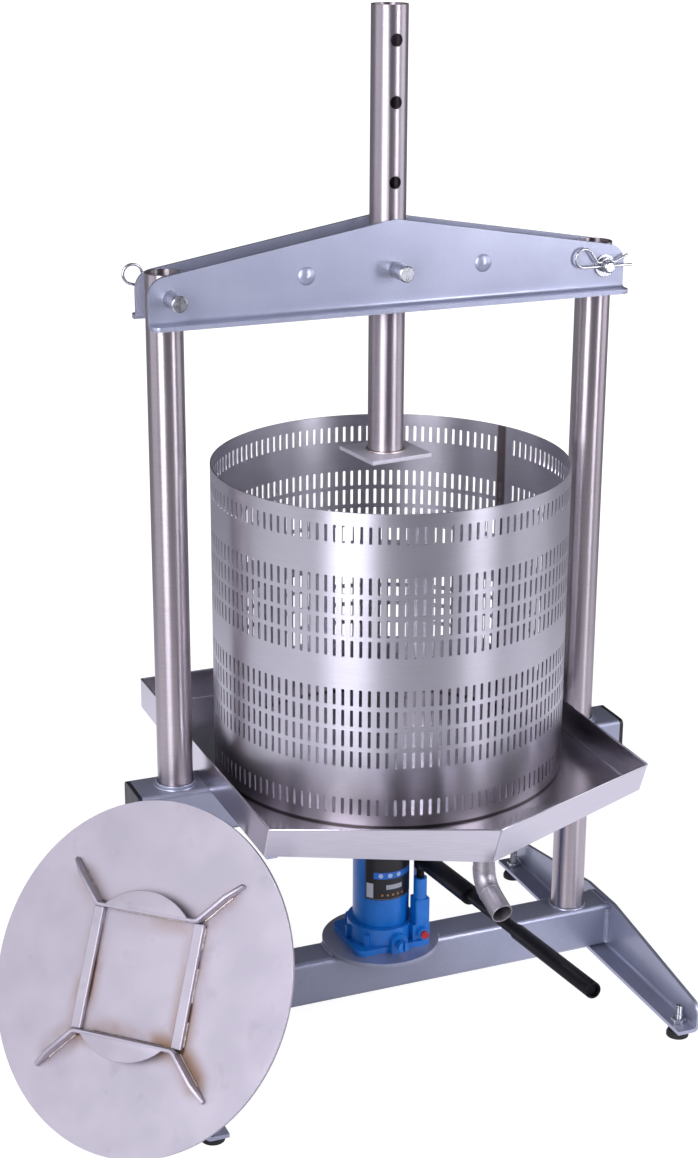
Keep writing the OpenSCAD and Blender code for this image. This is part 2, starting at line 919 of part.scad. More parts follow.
// A pin along Y with its thick head at the front and a cross-hole for its clip near the tail.
module pin() {
  shank = 2 * plate_out + washer_thick + pin_tail;
  difference() {
    translate([0, -plate_out, 0])
      rotate([-90, 0, 0]) {
        translate([0, 0, -pin_head + pin_chamfer])
          cylinder(d = pin_head_d, h = pin_head - pin_chamfer);
        translate([0, 0, -pin_head])
          cylinder(r1 = pin_head_d / 2 - pin_chamfer, r2 = pin_head_d / 2, h = pin_chamfer);
        cylinder(d = pin_d, h = shank - pin_chamfer);
        translate([0, 0, shank - pin_chamfer])
          cylinder(r1 = pin_d / 2, r2 = pin_d / 2 - pin_chamfer, h = pin_chamfer);
      }
    translate([0, clip_y, 0])
      rotate([0, 90, 0])
        cylinder(d = clip_wire + 2 * run_clear, h = 2 * pin_d, center = true);
  }
}

module left_pin() {
  color(steel) placed()
    translate([-column_span / 2, 0, pin_z])
      pin();
}

module centre_pin() {
  color(steel) placed()
    translate([0, 0, rod_pin_z])
      pin();
}

module right_pin() {
  color(steel) placed()
    translate([column_span / 2, 0, pin_z])
      rotate(180)
        pin();
}

module washer() {
  translate([0, plate_out, 0])
    rotate([-90, 0, 0])
      difference() {
        cylinder(d = washer_d, h = washer_thick);
        translate([0, 0, -cut])
          cylinder(d = pin_d + 2 * move_clear, h = washer_thick + 2 * cut);
      }
}

module pin_washers() {
  color(zinc) placed() {
    translate([-column_span / 2, 0, pin_z])
      washer();
    translate([0, 0, rod_pin_z])
      washer();
    translate([column_span / 2, 0, pin_z])
      rotate(180)
        washer();
  }
}

// Points on a bend of the wire, each with its heading in degrees: side 1 turns right and -1 turns left.
function wire_bend(centre, radius, from, to, side, first, steps) = [
  for (i = [first : steps])
    let (heading = from + (to - from) * i / steps)
      [centre.x - side * radius * sin(heading), centre.y + side * radius * cos(heading), heading],
];

// A spring clip in the XZ plane: a straight leg through the pin, a round loop, and a leg bent over the pin.
module clip() {
  hump = pin_d / 2 + clip_wire / 2 + move_clear;
  dive = 55;
  climb = 45;
  flare = 25;
  valley = (hump + clip_bend) * [-sin(climb), cos(climb)];
  valley_start = valley - clip_bend * [sin(dive), cos(dive)];
  slant = (clip_loop * (1 + cos(dive)) - valley_start.y) / sin(dive);
  loop_at = [valley_start.x - slant * cos(dive) - clip_loop * sin(dive), clip_loop];
  rise = [-valley.x, valley.y];
  tip = rise + clip_bend * [sin(flare), -cos(flare)] + clip_reach / 2 * [cos(flare), sin(flare)];
  path = [
    [clip_reach, 0, 180],
    each wire_bend(loop_at, clip_loop, 180, -dive, 1, 0, 24),
    each wire_bend(valley, clip_bend, -dive, climb, -1, 0, 8),
    each wire_bend([0, 0], hump, climb, -climb, 1, 1, 8),
    each wire_bend(rise, clip_bend, -climb, flare, -1, 1, 6),
    [tip.x, tip.y, flare],
  ];
  color(zinc) placed()
    wire(path);
}

// A round wire along a flat path of points with headings.
module wire(path) {
  last = len(path) - 1;
  rings = [
    for (p = path, k = [0 : wire_sides - 1])
      let (turn = 360 * k / wire_sides, out = clip_wire / 2 * cos(turn), along = clip_wire / 2 * sin(turn))
        [p.x - out * sin(p.z), along, p.y + out * cos(p.z)],
  ];
  sides = [
    for (i = [0 : last - 1], k = [0 : wire_sides - 1])
      let (n = (k + 1) % wire_sides, a = i * wire_sides, b = a + wire_sides)
        each [[a + k, b + k, a + n], [b + k, b + n, a + n]],
  ];
  ends = [
    for (k = [1 : wire_sides - 2])
      each [[0, k, k + 1], [last * wire_sides, last * wire_sides + k + 1, last * wire_sides + k]],
  ];
  polyhedron(rings, concat(sides, ends));
}

module left_clip() {
  translate([-column_span / 2, clip_y, pin_z])
    clip();
}

module centre_clip() {
  translate([0, clip_y, rod_pin_z])
    clip();
}

module right_clip() {
  translate([column_span / 2, -clip_y, pin_z])
    clip();
}

module press_rod() {
  color(steel) placed()
    difference() {
      translate([0, 0, rod_bottom])
        tube(tube_r, tube_wall, rod_length);
      for (drop = concat(rod_holes, [rod_above]))
        translate([0, 0, rod_top - drop])
          rotate([90, 0, 0])
            cylinder(d = pin_d + 2 * move_clear, h = tube_d + 2 * cut, center = true);
    }
}

module rod_foot() {
  color(steel) placed()
    translate([0, 0, rod_bottom - foot_plate_thick / 2])
      rotate(foot_plate_turn)
        cube([foot_plate, foot_plate, foot_plate_thick], center = true);
}

// Puts a shape drawn on the XY plane onto the leaning plate, with its face towards +Z of the shape.
module on_disc() {
  multmatrix([
    [disc_side.x, disc_up.x, disc_normal.x, disc_x],
    [disc_side.y, disc_up.y, disc_normal.y, disc_y],
    [disc_side.z, disc_up.z, disc_normal.z, disc_lift],
  ])
    children();
}

module press_disc() {
  color(steel) placed()
    on_disc()
      cylinder(d = disc_d, h = disc_thick, center = true);
}

// A rib in plan: a straight middle and two arms bent outwards.
module rib_outline() {
  half = socket_side / 2;
  bent = [cos(rib_bend), sin(rib_bend)];
  across = [-bent.y, bent.x];
  tip = [half, 0] + rib_arm * bent;
  side = [
    [half, 0],
    tip,
    tip + rib_thick * across,
    [half - rib_thick * tan(rib_bend / 2), rib_thick],
  ];
  polygon(concat(side, [for (i = [len(side) - 1 : -1 : 0]) [-side[i].x, side[i].y]]));
}

// A rib: its bent strip, whose arms fall to their tips, and a half-moon lip along the middle's upper edge.
module rib(turn) {
  fall_start = rib_arm * 2 / 3;
  fall = atan2(rib_h - rib_tip, rib_arm - fall_start);
  color(steel) placed()
    on_disc()
      rotate(socket_turn + turn)
        translate([0, socket_side / 2, disc_thick / 2]) {
          difference() {
            linear_extrude(rib_h)
              rib_outline();
            for (s = [-1, 1])
              scale([s, 1, 1])
                translate([socket_side / 2, 0, 0])
                  rotate(rib_bend)
                    translate([fall_start, -cut, rib_h])
                      rotate([0, fall, 0])
                        cube([rib_arm, rib_thick + 2 * cut, rib_h]);
          }
          lip();
        }
}

module lip() {
  half = socket_side / 2 - side_bar_w;
  lip_r = (half * half + lip_reach * lip_reach) / (2 * lip_reach);
  translate([0, 0, rib_h - lip_thick])
    linear_extrude(lip_thick)
      intersection() {
        translate([0, lip_reach + rib_thick - lip_r])
          circle(lip_r);
        translate([-half, rib_thick / 2])
          square([2 * half, lip_reach + rib_thick]);
      }
}

module upper_rib() {
  rib(0);
}

module lower_rib() {
  rib(180);
}

module socket_side_bars() {
  half = socket_side / 2;
  color(steel) placed()
    on_disc()
      rotate(socket_turn)
        for (s = [-1, 1])
          translate([s * half - side_bar_w / 2, -half, disc_thick / 2])
            cube([side_bar_w, socket_side, side_bar_h]);
}

// A cylinder along -Y from a place on the front of the jack.
module forward(x, z, r, from, to) {
  translate([x, -from, z])
    rotate([90, 0, 0])
      cylinder(r = r, h = to - from);
}

module jack_base() {
  color(blue) placed()
    difference() {
      union() {
        translate([0, 0, jack_z])
          linear_extrude(jack_flange_h)
            rounded_rect(jack_w, jack_d, jack_round);
        translate([0, 0, jack_z])
          cylinder(d = jack_collar_d, h = jack_base_h);
        for (turn = [45, 135, 180, 225])
          rotate(turn)
            translate([0, -jack_rib / 2, jack_z])
              cube([jack_w / 2 - jack_rib / 3, jack_rib, jack_base_h - jack_rib]);
        translate([pump_x - pump_block / 2 - block_round, -jack_d / 2 + block_round, jack_z])
          cube([jack_w / 2 - pump_x + pump_block / 2 + block_round, lobe_d, jack_base_h]);
        forward(valve_x, valve_h, valve_boss_d / 2, 0, valve_front);
        translate([valve_x - valve_boss_d / 2, -valve_front, jack_z])
          cube([valve_boss_d, valve_front, valve_z]);
        forward(pump_x, plug_h, plug_boss_d / 2, 0, plug_front);
        translate([post_x, pivot_y - tongue_h / 2, jack_top])
          cube([post_thick, tongue_h, pivot_h - jack_top]);
        translate([post_x, pivot_y, pivot_h])
          rotate([0, 90, 0])
            cylinder(d = tongue_h, h = post_thick);
      }
      forward(valve_x, valve_h, valve_d / 2 + run_clear, valve_back, valve_front + cut);
      forward(pump_x, plug_h, plug_d / 2 + move_clear, plug_back, plug_front + cut);
      translate([post_x - cut, pivot_y, pivot_h])
        rotate([0, 90, 0])
          cylinder(d = pivot_d, h = post_thick + 2 * cut);
    }
}

module jack_reservoir() {
  color(blue) placed()
    translate([0, 0, jack_top])
      tube(reservoir_d / 2, reservoir_wall, reservoir_h);
}

module jack_cylinder() {
  color(zinc) placed()
    translate([0, 0, jack_top])
      tube(ram_d / 2 + run_clear + cylinder_wall, cylinder_wall, reservoir_h);
}

module jack_gland() {
  color(blue) placed()
    translate([0, 0, reservoir_top])
      difference() {
        union() {
          cylinder(d = reservoir_d, h = gland_collar);
          cylinder(d = (reservoir_d - 2 * gland_collar), h = gland_h, $fn = 6);
        }
        translate([0, 0, -cut])
          cylinder(d = ram_d + 2 * run_clear, h = gland_h + 2 * cut);
      }
}

module jack_ram() {
  color(steel) placed()
    difference() {
      translate([0, 0, ram_bottom])
        cylinder(d = ram_d, h = ram_top - ram_bottom);
      translate([0, 0, screw_bottom])
        cylinder(d = screw_d + 2 * run_clear, h = ram_top - screw_bottom + cut);
    }
}

// The screw's saddle bears under the table beam.
module extension_screw() {
  neck = (table_z - ram_top) / 2;
  color(zinc) placed() {
    translate([0, 0, screw_bottom + blind_clear])
      cylinder(d = screw_d, h = ram_top + neck - screw_bottom - blind_clear);
    translate([0, 0, ram_top])
      cylinder(d = ram_d - 2 * gland_collar, h = neck);
    translate([0, 0, ram_top + neck])
      cylinder(d = saddle_d, h = table_z - ram_top - neck);
  }
}

// The valve's outer end has a slot that takes the notched end of the handle.
module release_valve() {
  color(zinc) placed()
    difference() {
      union() {
        forward(valve_x, valve_h, valve_d / 2, valve_back + blind_clear, valve_end);
        forward(valve_x, valve_h, valve_head_d / 2, valve_front + valve_stem / 2, valve_end);
      }
      translate([valve_x - valve_slot / 2, -valve_end - cut, valve_h - valve_head_d])
        cube([valve_slot, cut + valve_stem / 4, 2 * valve_head_d]);
    }
}

module filler_plug() {
  color(red) placed() {
    forward(pump_x, plug_h, plug_d / 2, plug_back + blind_clear, plug_front);
    forward(pump_x, plug_h, plug_head_d / 2, plug_front, plug_front + plug_stand);
  }
}

module pump_barrel() {
  color(blue) placed()
    translate([pump_x, -pump_y, jack_top])
      difference() {
        union() {
          linear_extrude(pump_block_h)
            rounded_rect(pump_block, pump_block, block_round);
          cylinder(d = barrel_d, h = pump_block_h + barrel_h);
        }
        translate([0, 0, box_round])
          cylinder(d = plunger_d + 2 * run_clear, h = pump_block_h + barrel_h);
      }
}

// The plunger carries a fork, and its cross pin works in the lever's slot.
module pump_plunger() {
  fork_w = 2 * (fork_half + cheek);
  color(black) placed()
    difference() {
      union() {
        translate([pump_x, -pump_y, plunger_bottom])
          cylinder(d = plunger_d, h = fork_bottom - plunger_bottom + fork_foot / 2);
        translate([pump_x - fork_w / 2, -pump_y - fork_d / 2, fork_bottom])
          cube([fork_w, fork_d, cross_z + fork_d / 2 - fork_bottom]);
      }
      translate([pump_x - fork_half, -pump_y - fork_d, fork_bottom + fork_foot])
        cube([2 * fork_half, 2 * fork_d, tongue_h * 2]);
      translate([pump_x, -pump_y, cross_z])
        rotate([0, 90, 0])
          cylinder(d = cross_pin_d, h = 2 * fork_w, center = true);
    }
}

module plunger_pin() {
  color(zinc) placed()
    translate([pump_x, -pump_y, cross_z])
      rotate([0, 90, 0])
        cylinder(d = cross_pin_d, h = 2 * (fork_half + cheek + run_clear), center = true);
}

module pivot_pin() {
  color(zinc) placed()
    translate([pump_x - tongue_half, pivot_y, pivot_h])
      rotate([0, 90, 0]) {
        cylinder(d = pivot_d, h = post_x + post_thick - pump_x + tongue_half);
        translate([0, 0, post_x + post_thick - pump_x + tongue_half])
          cylinder(d = pivot_head_d, h = cheek);
      }
}

// The lever's own frame: the pivot at the origin and the handle along -Y.
module on_lever() {
  translate([pump_x, pivot_y, pivot_h])
    rotate([-handle_rise, 0, 0])
      children();
}

module along_lever(r, from, to) {
  translate([0, -from, 0])
    rotate([90, 0, 0])
      cylinder(r = r, h = to - from);
}

module handle_socket() {
  bore_start = socket_near + handle_d / 2;
  color(black) placed()
    on_lever()
      difference() {
        union() {
          translate([-tongue_half, -bore_start, -tongue_h / 2])
            cube([tongue_thick, bore_start, tongue_h]);
          rotate([0, 90, 0])
            cylinder(d = tongue_h, h = tongue_thick, center = true);
          along_lever(socket_d / 2, socket_near, socket_far);
        }
        rotate([0, 90, 0])
          cylinder(d = pivot_d + 2 * run_clear, h = 2 * tongue_thick, center = true);
        translate([0, -cross_reach - fork_clear, 0])
          rotate([0, 90, 0])
            linear_extrude(2 * tongue_thick, center = true)
              slot_outline();
        along_lever(handle_d / 2 + move_clear, bore_start, socket_far + cut);
      }
}

// The lever's slot is a little longer than its pin, because the plunger moves straight.
module slot_outline() {
  half = cross_pin_d / 2 + fork_clear;
  travel = 2 * fork_clear;
  square([2 * half, 2 * travel], center = true);
  for (s = [-1, 1])
    translate([0, s * travel])
      circle(half);
}

module handle_rod() {
  color(black) placed()
    on_lever()
      along_lever(handle_d / 2, socket_near + handle_d, handle_far - grip_end);
}

module handle_grip() {
  color(black) placed()
    on_lever()
      difference() {
        along_lever(grip_d / 2, grip_near, handle_far);
        along_lever(handle_d / 2, grip_near - cut, handle_far - grip_end);
      }
}

base_beam();
left_foot();
right_foot();
jack_pad_plate();
left_column();
right_column();
levelling_nuts();
front_left_stud();
front_right_stud();
back_left_stud();
back_right_stud();
front_left_rubber();
front_right_rubber();
back_left_rubber();
back_right_rubber();
table_beam();
left_sleeve();
right_sleeve();
left_end_cap();
right_end_cap();
table_arms();
tray();
spout();
basket();
yoke_front_plate();
yoke_back_plate();
yoke_spacers();
left_pin();
centre_pin();
right_pin();
pin_washers();
left_clip();
centre_clip();
right_clip();
press_rod();
rod_foot();
press_disc();
upper_rib();
lower_rib();
socket_side_bars();
jack_base();
jack_reservoir();
jack_cylinder();
jack_gland();
jack_ram();
extension_screw();
release_valve();
filler_plug();
pump_barrel();
pump_plunger();
plunger_pin();
pivot_pin();
handle_socket();
handle_rod();
handle_grip();
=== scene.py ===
"""Looks of a hydraulic fruit press: finishes, slotted basket, welds, threads, wire clips and the studio."""

import json
import math

import bmesh
import bpy
from mathutils import Matrix, Vector


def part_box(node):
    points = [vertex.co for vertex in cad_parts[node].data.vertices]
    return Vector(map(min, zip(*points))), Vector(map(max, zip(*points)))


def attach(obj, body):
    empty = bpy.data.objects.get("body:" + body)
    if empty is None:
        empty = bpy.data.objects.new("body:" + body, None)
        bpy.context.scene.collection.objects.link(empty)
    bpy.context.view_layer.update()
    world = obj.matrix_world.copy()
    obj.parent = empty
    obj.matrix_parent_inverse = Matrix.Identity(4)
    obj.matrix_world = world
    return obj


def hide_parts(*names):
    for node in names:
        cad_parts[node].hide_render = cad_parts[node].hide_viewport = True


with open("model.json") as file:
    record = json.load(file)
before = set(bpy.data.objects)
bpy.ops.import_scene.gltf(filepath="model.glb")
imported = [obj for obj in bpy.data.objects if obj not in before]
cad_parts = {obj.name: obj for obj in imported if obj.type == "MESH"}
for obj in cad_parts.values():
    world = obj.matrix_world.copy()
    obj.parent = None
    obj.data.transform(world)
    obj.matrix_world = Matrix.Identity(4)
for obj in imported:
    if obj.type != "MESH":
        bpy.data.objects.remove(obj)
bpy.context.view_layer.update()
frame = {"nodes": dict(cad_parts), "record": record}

MM = 0.001
NODES = frame["nodes"]
JOINTS = {joint["name"]: joint for joint in frame["record"]["behaviour"]["joints"]}

# Names of the pieces that repeat, and of the nodes that share the frame's coat.
SIDES = ("left", "centre", "right")
CORNERS = ("front_left", "front_right", "back_left", "back_right")
RUBBERS = [f"{corner}_rubber" for corner in CORNERS]
PINS = [f"{side}_pin" for side in SIDES]
END_CAPS = ("left_end_cap", "right_end_cap")
COLUMNS = ("left_column", "right_column")
SLEEVES = ("left_sleeve", "right_sleeve")
PAINTED = (
    "base_beam", "left_foot", "right_foot", "jack_pad_plate", "table_beam", *SLEEVES,
    "table_arms", "yoke_front_plate", "yoke_back_plate", "yoke_spacers",
)

# Sockets of a colour mix, and the setting of a range with soft ends.
MIX_A = 6
MIX_B = 7
SMOOTH = {"interpolation_type": "SMOOTHSTEP"}

# Points closer than this become one: in new pieces, in CAD nodes, and where the basket's sheet meets.
MERGE = 0.01 * MM
CAD_MERGE = 0.002 * MM
ROLL_MERGE = 0.05 * MM
# What lies closer to a plane than this is on it.
NEAR = 0.1 * MM

# Edges that turn by more than this are sharp. A face whose normal's z is past LEVEL is level.
SHARP = math.radians(40)
SLOT_SHARP = math.radians(35)
LEVEL = 0.9

# Photograph: where its camera stood, in metres of the press's own frame, and its lens.
CAMERA_AT = Vector((-0.88742, -2.15566, 1.43294))
CAMERA_YAW = math.radians(22.33)
CAMERA_PITCH = math.radians(19.25)
CAMERA_ROLL = math.radians(0.26)
CAMERA_LENS = 67.16
SENSOR = 36

# Basket sheet: slots in bands of one, four, four and one row, with plain steel between the bands.
SLOTS_ROUND = 132
SLOT_WIDTH = 3.6 * MM
SLOT_HEIGHT = 20 * MM
SLOT_CORNER = 0.9 * MM
SLOT_GAP = 5 * MM
RIM_PLAIN = 15 * MM
BAND_PLAIN = 39 * MM
BANDS = (1, 4, 4, 1)
SHEET = 1.5 * MM
SEAM_ANGLE = math.radians(25.5)

# Heat tint beside the basket's seam, and two bands of painted shade over its foot, each from full to gone:
# a painted reflection of the tray's dark floor, and a thin painted contact shadow.
TINT_FULL = 5 * MM
TINT_END = 8 * MM
PAINTED_SHADE_FULL = 20 * MM
PAINTED_SHADE_END = 85 * MM
FOOT_SHADOW_FULL = 1.5 * MM
FOOT_SHADOW_END = 3.5 * MM

# Brushing: its turn of the highlights, and how the grain is drawn out along x, y and z.
QUARTER = 0.25
ROUND_GRAIN = (0.02, 0.02, 1)
SPOUT_GRAIN = (0.05, 0.05, 1)
FOOT_GRAIN = (0.03, 1, 1)

# Tray: its depth and sheet, how far its pointed front stands out and how far it leans.
TRAY_DEEP = 40 * MM
TRAY_SHEET = 1.5 * MM
TRAY_POINT = 96 * MM
TRAY_LEAN = math.radians(22)

# Press plate: its thickness and its socket, on the face that looks out.
PLATE_THICK = 4 * MM
SOCKET_TURN = math.radians(7)
SOCKET_HALF = 71 * MM
SIDE_BAR = 14 * MM
RIB_THICK = 5 * MM
RIB_HEIGHT = 14 * MM
RIB_TIP = 5 * MM
RIB_ARM = 70 * MM
RIB_FALL = RIB_ARM / 3
RIB_ROUND = 8 * MM
LIP_REACH = 22 * MM
LIP_THICK = 3 * MM
RIB_EDGE = 1.4 * MM
LIP_EDGE = 0.7 * MM

# Heat tint and scorch of the plate, from full to gone, over its face and up a bar. Its cool and hot sides.
FACE_TINT = (2 * MM, 26 * MM)
ARM_TINT = RIB_ARM * 0.6
BAR_TINT = (2 * MM, 7 * MM)
FACE_SCORCH = (7.5 * MM, 10.5 * MM)
BAR_SCORCH = (2 * MM, 4 * MM)
COOL_SIDE = 70 * MM
HOT_SIDE = -80 * MM

# Handle grip: its wall, the depth of its open end and the rounding of its edges.
GRIP_WALL = 2.4 * MM
GRIP_HOLLOW = 20 * MM
GRIP_EDGE = 1.0 * MM

# Spring clips: wire, leg, loop and small bends.
WIRE = 3.2 * MM
LEG = 34 * MM
LOOP = 11 * MM
BEND = 5 * MM
HUMP = 8.9 * MM
DIVE = math.radians(55)
CLIMB = math.radians(45)
FLARE = math.radians(25)
LEFT_CLIP_TURN = math.radians(16)

# Label film on the jack: the way it faces, half of its turn round the reservoir, and its place and sheet.
FILM_FACING = math.radians(-88)
FILM_HALF = math.radians(59)
FILM_OVER_BASE = 39 * MM
FILM_UNDER_TOP = 12 * MM
FILM_OFF_WALL = 0.1 * MM
FILM_CORNER = 1.5 * MM
FILM_THICK = 0.25 * MM
FILM_FRAME = 1.0 * MM
FILM_FRAME_IN = 1.6 * MM

# Studio, in metres: the ways from the press to its dim side, a little right of the camera, and to its back.
DIM_SIDE = (math.cos(math.radians(-93)), math.sin(math.radians(-93)), 0)
BACK_SIDE = (math.cos(math.radians(67)), math.sin(math.radians(67)), 0)
FLOOR_RADIUS = 60
VIEW_END = 200
LAMP_TINT = (0.91, 0.9, 1.0)
LAMP_TARGET = Vector((0.09, 0.1, 0.8))
# Each lamp: name, way round the press in degrees, distance, height, size and power in watts.
LAMPS = (
    ("key_lamp", -137, 2.7, 1.6, (1.3, 2.6), 88),
    ("right_lamp", -58, 2.8, 1.6, (0.8, 2.4), 48),
    ("side_lamp", -18, 2.9, 1.4, (1.8, 2.2), 26),
    ("left_lamp", 176, 2.9, 1.4, (2.4, 2.2), 20),
    ("top_lamp", -100, 0.6, 3.6, (2.2, 2.2), 5),
)

# Thread of the studs: its pitch, and in shares of that its core's depth, its ridge and its bevelled tips.
STUD_PITCH = 1.5 * MM
CORE_SHARE = 0.6
RIDGE_SHARE = 0.55
TIP_SHARE = 0.5
# Turns left bare at its lower end, and fewer turns than the bar has room for.
BARE_TURNS = 1.5
SPARE_TURNS = 2

# Weld runs: their ripples, sides and rounded ends, and half of each run's thickness.
RIPPLE = 3 * MM
RIPPLE_SHARE = 0.22
BEAD_SIDES = 8
BEND_SIDES = 16
END_ROUND = 0.6
END_STEP = 0.4
COLUMN_BEAD = 2.4 * MM
WEB_BEAD = 5.5 * MM
BEAM_BEAD = 2.2 * MM
PAD_BEAD = 2.2 * MM
SLEEVE_BEAD = 1.8 * MM
ROD_BEAD = 2.2 * MM
SOCKET_BEAD = 1.5 * MM
RIB_BEAD = 1.4 * MM
SEAM_BEAD = 1.3 * MM
POINT_BEAD = 0.9 * MM
RIM_BEAD = 1.1 * MM
BEND_BEAD = 1.4 * MM
# How far a ring stands off its tube and over the face that it is on.
RING_OFF = 0.8 * MM
RING_OVER = 0.6 * MM
SLEEVE_OFF = 0.6 * MM
SLEEVE_OVER = 0.4 * MM
# How far the runs of the frame stop short of the corners.
WEB_LOW = 6 * MM
WEB_HIGH = 4 * MM
BEAM_SHORT = 6 * MM
PAD_SHORT = 5 * MM
# Runs of the plate's socket: shares of its half, over its face, past a corner, short of a tip, into a rib.
BAR_RUNS = ((-0.95, -0.55), (-0.25, 0.3), (0.6, 0.95))
RIB_RUN = 0.7
FACE_OVER = 0.5 * MM
PAST_CORNER = 6 * MM
ARM_SHORT = 26 * MM
RIB_IN = 0.3 * MM
# Runs of the tray: under its rim, over its floor, and along its sides from the front's slant.
POINT_UNDER = 2 * MM
RIM_UNDER = 0.4 * MM
FLOOR_OVER = 0.5 * MM
SLANT = 17 * MM


def rgb(colour):
    """Linear colour of an sRGB hex value."""
    parts = [int(colour[i : i + 2], 16) / 255 for i in (1, 3, 5)]
    linear = [c / 12.92 if c <= 0.04045 else ((c + 0.055) / 1.055) ** 2.4 for c in parts]
    return (*linear, 1)


def middle_of(name):
    """The middle of a node's box."""
    return sum(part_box(name), Vector()) / 2


def add(tree, kind, inputs=None, **settings):
    """Adds a node. Settings are its properties, and inputs give its sockets values or what feeds them."""
    made = tree.nodes.new("ShaderNode" + kind)
    for key, value in settings.items():
        setattr(made, key, value)
    for key, value in (inputs or {}).items():
        if isinstance(value, bpy.types.Node):
            value = next(socket for socket in value.outputs if socket.enabled)
        if isinstance(value, bpy.types.NodeSocket):
            tree.links.new(value, made.inputs[key])
        else:
            made.inputs[key].default_value = value
    return made


def new_material(name):
    """A material with no nodes yet, and its tree."""
    made = bpy.data.materials.new(name)
    made.use_nodes = True
    made.node_tree.nodes.clear()
    return made, made.node_tree


def powder_coat():
    """Silver-grey powder coat on steel: a soft metallic sheen over a fine orange peel, a little cloudy."""
    made, tree = new_material("silver_powder_coat")
    place = add(tree, "TexCoord").outputs["Object"]
    cloud = add(tree, "TexNoise", {"Vector": place, "Scale": 1 / (90 * MM), "Detail": 3})
    flake = add(tree, "TexNoise", {"Vector": place, "Scale": 1 / (0.9 * MM), "Detail": 1})
    # The orange peel is drawn at 2.2 mm, coarser than the real one, so that it shows.
    peel = add(tree, "TexNoise", {"Vector": place, "Scale": 1 / (2.2 * MM), "Detail": 2})
    mixed = add(tree, "Math", {0: cloud, 1: flake}, operation="ADD")
    share = add(tree, "MapRange", {"Value": mixed, "From Min": 0.75, "From Max": 1.25})
    colour = add(
        tree, "Mix", {"Factor": share, MIX_A: rgb("#9A9EB0"), MIX_B: rgb("#A9ADBF")}, data_type="RGBA"
    )
    rough = add(
        tree, "MapRange", {"Value": peel, "From Min": 0.3, "From Max": 0.7, "To Min": 0.36, "To Max": 0.45}
    )
    bump = add(tree, "Bump", {"Height": peel, "Strength": 0.06, "Distance": 0.3 * MM})
    sockets = {"Base Color": colour, "Metallic": 0.65, "Roughness": rough, "Normal": bump}
    sockets |= {"Coat Weight": 0.6, "Coat Roughness": 0.14}
    paint = add(tree, "BsdfPrincipled", sockets)
    add(tree, "OutputMaterial", {"Surface": paint})
    return made


def brushed_steel(name, light, dark, rough, grain, anisotropy=0.0, seam=None, shade_bands=()):
    """Brushed stainless steel: fine streaks along a sheet or round a tube draw reflections out across them.

    Beside a welded seam it has a brown band of heat tint. Bands of painted shade darken it low down.
    Each is given as the height where it is full, the height where it ends, its strength and its colour.
    """
    made, tree = new_material(name)
    place = add(tree, "TexCoord").outputs["Object"]
    # The grain is drawn 0.6 mm wide, coarser than real brushing, so that it shows.
    along = add(tree, "Mapping", {"Vector": place, "Scale": grain})
    streak = add(tree, "TexNoise", {"Vector": along, "Scale": 1 / (0.6 * MM), "Detail": 3})
    handled = add(tree, "TexNoise", {"Vector": place, "Scale": 1 / (70 * MM), "Detail": 3})
    share = add(tree, "MapRange", {"Value": streak, "From Min": 0.3, "From Max": 0.7})
    colour = add(tree, "Mix", {"Factor": share, MIX_A: rgb(dark), MIX_B: rgb(light)}, data_type="RGBA")
    if seam:
        flat = add(tree, "VectorMath", {0: place, 1: (1, 1, 0)}, operation="MULTIPLY")
        away = add(tree, "VectorMath", {0: flat, 1: (seam.x, seam.y, 0)}, operation="DISTANCE")
        heat = add(
            tree,
            "MapRange",
            {"Value": away, "From Min": TINT_FULL, "From Max": TINT_END, "To Min": 0.8, "To Max": 0},
            **SMOOTH,
        )
        colour = add(tree, "Mix", {"Factor": heat, MIX_A: colour, MIX_B: rgb("#5C4A45")}, data_type="RGBA")
    # Bands of painted shade, darker low down on the sheet.
    for full, end, strength, shade in shade_bands:
        height = add(tree, "SeparateXYZ", {"Vector": place}).outputs["Z"]
        shade_share = add(
            tree,
            "MapRange",
            {"Value": height, "From Min": full, "From Max": end, "To Min": strength, "To Max": 0},
            **SMOOTH,
        )
        colour = add(tree, "Mix", {"Factor": shade_share, MIX_A: colour, MIX_B: rgb(shade)}, data_type="RGBA")
    mixed = add(tree, "Math", {0: streak, 1: handled}, operation="ADD")
    polish = add(
        tree,
        "MapRange",
        {"Value": mixed, "From Min": 0.7, "From Max": 1.3, "To Min": rough[0], "To Max": rough[1]},
    )
    sockets = {"Base Color": colour, "Metallic": 1.0, "Roughness": polish}
    sockets |= {"Anisotropic": anisotropy, "Anisotropic Rotation": QUARTER}
    steel = add(tree, "BsdfPrincipled", sockets)
    add(tree, "OutputMaterial", {"Surface": steel})
    return made


def plate_turn():
    """The way from the press plate's own axes, square with its socket, to the press's frame."""
    out = Vector(JOINTS["plate_take_away"]["axis"]).normalized()
    side = Vector((0, 0, 1)).cross(out).normalized()
    up = out.cross(side)
    square = Matrix((side, up, out)).transposed() @ Matrix.Rotation(SOCKET_TURN, 3, "Z")
    return Matrix.Translation(middle_of("press_disc")) @ square.to_4x4()


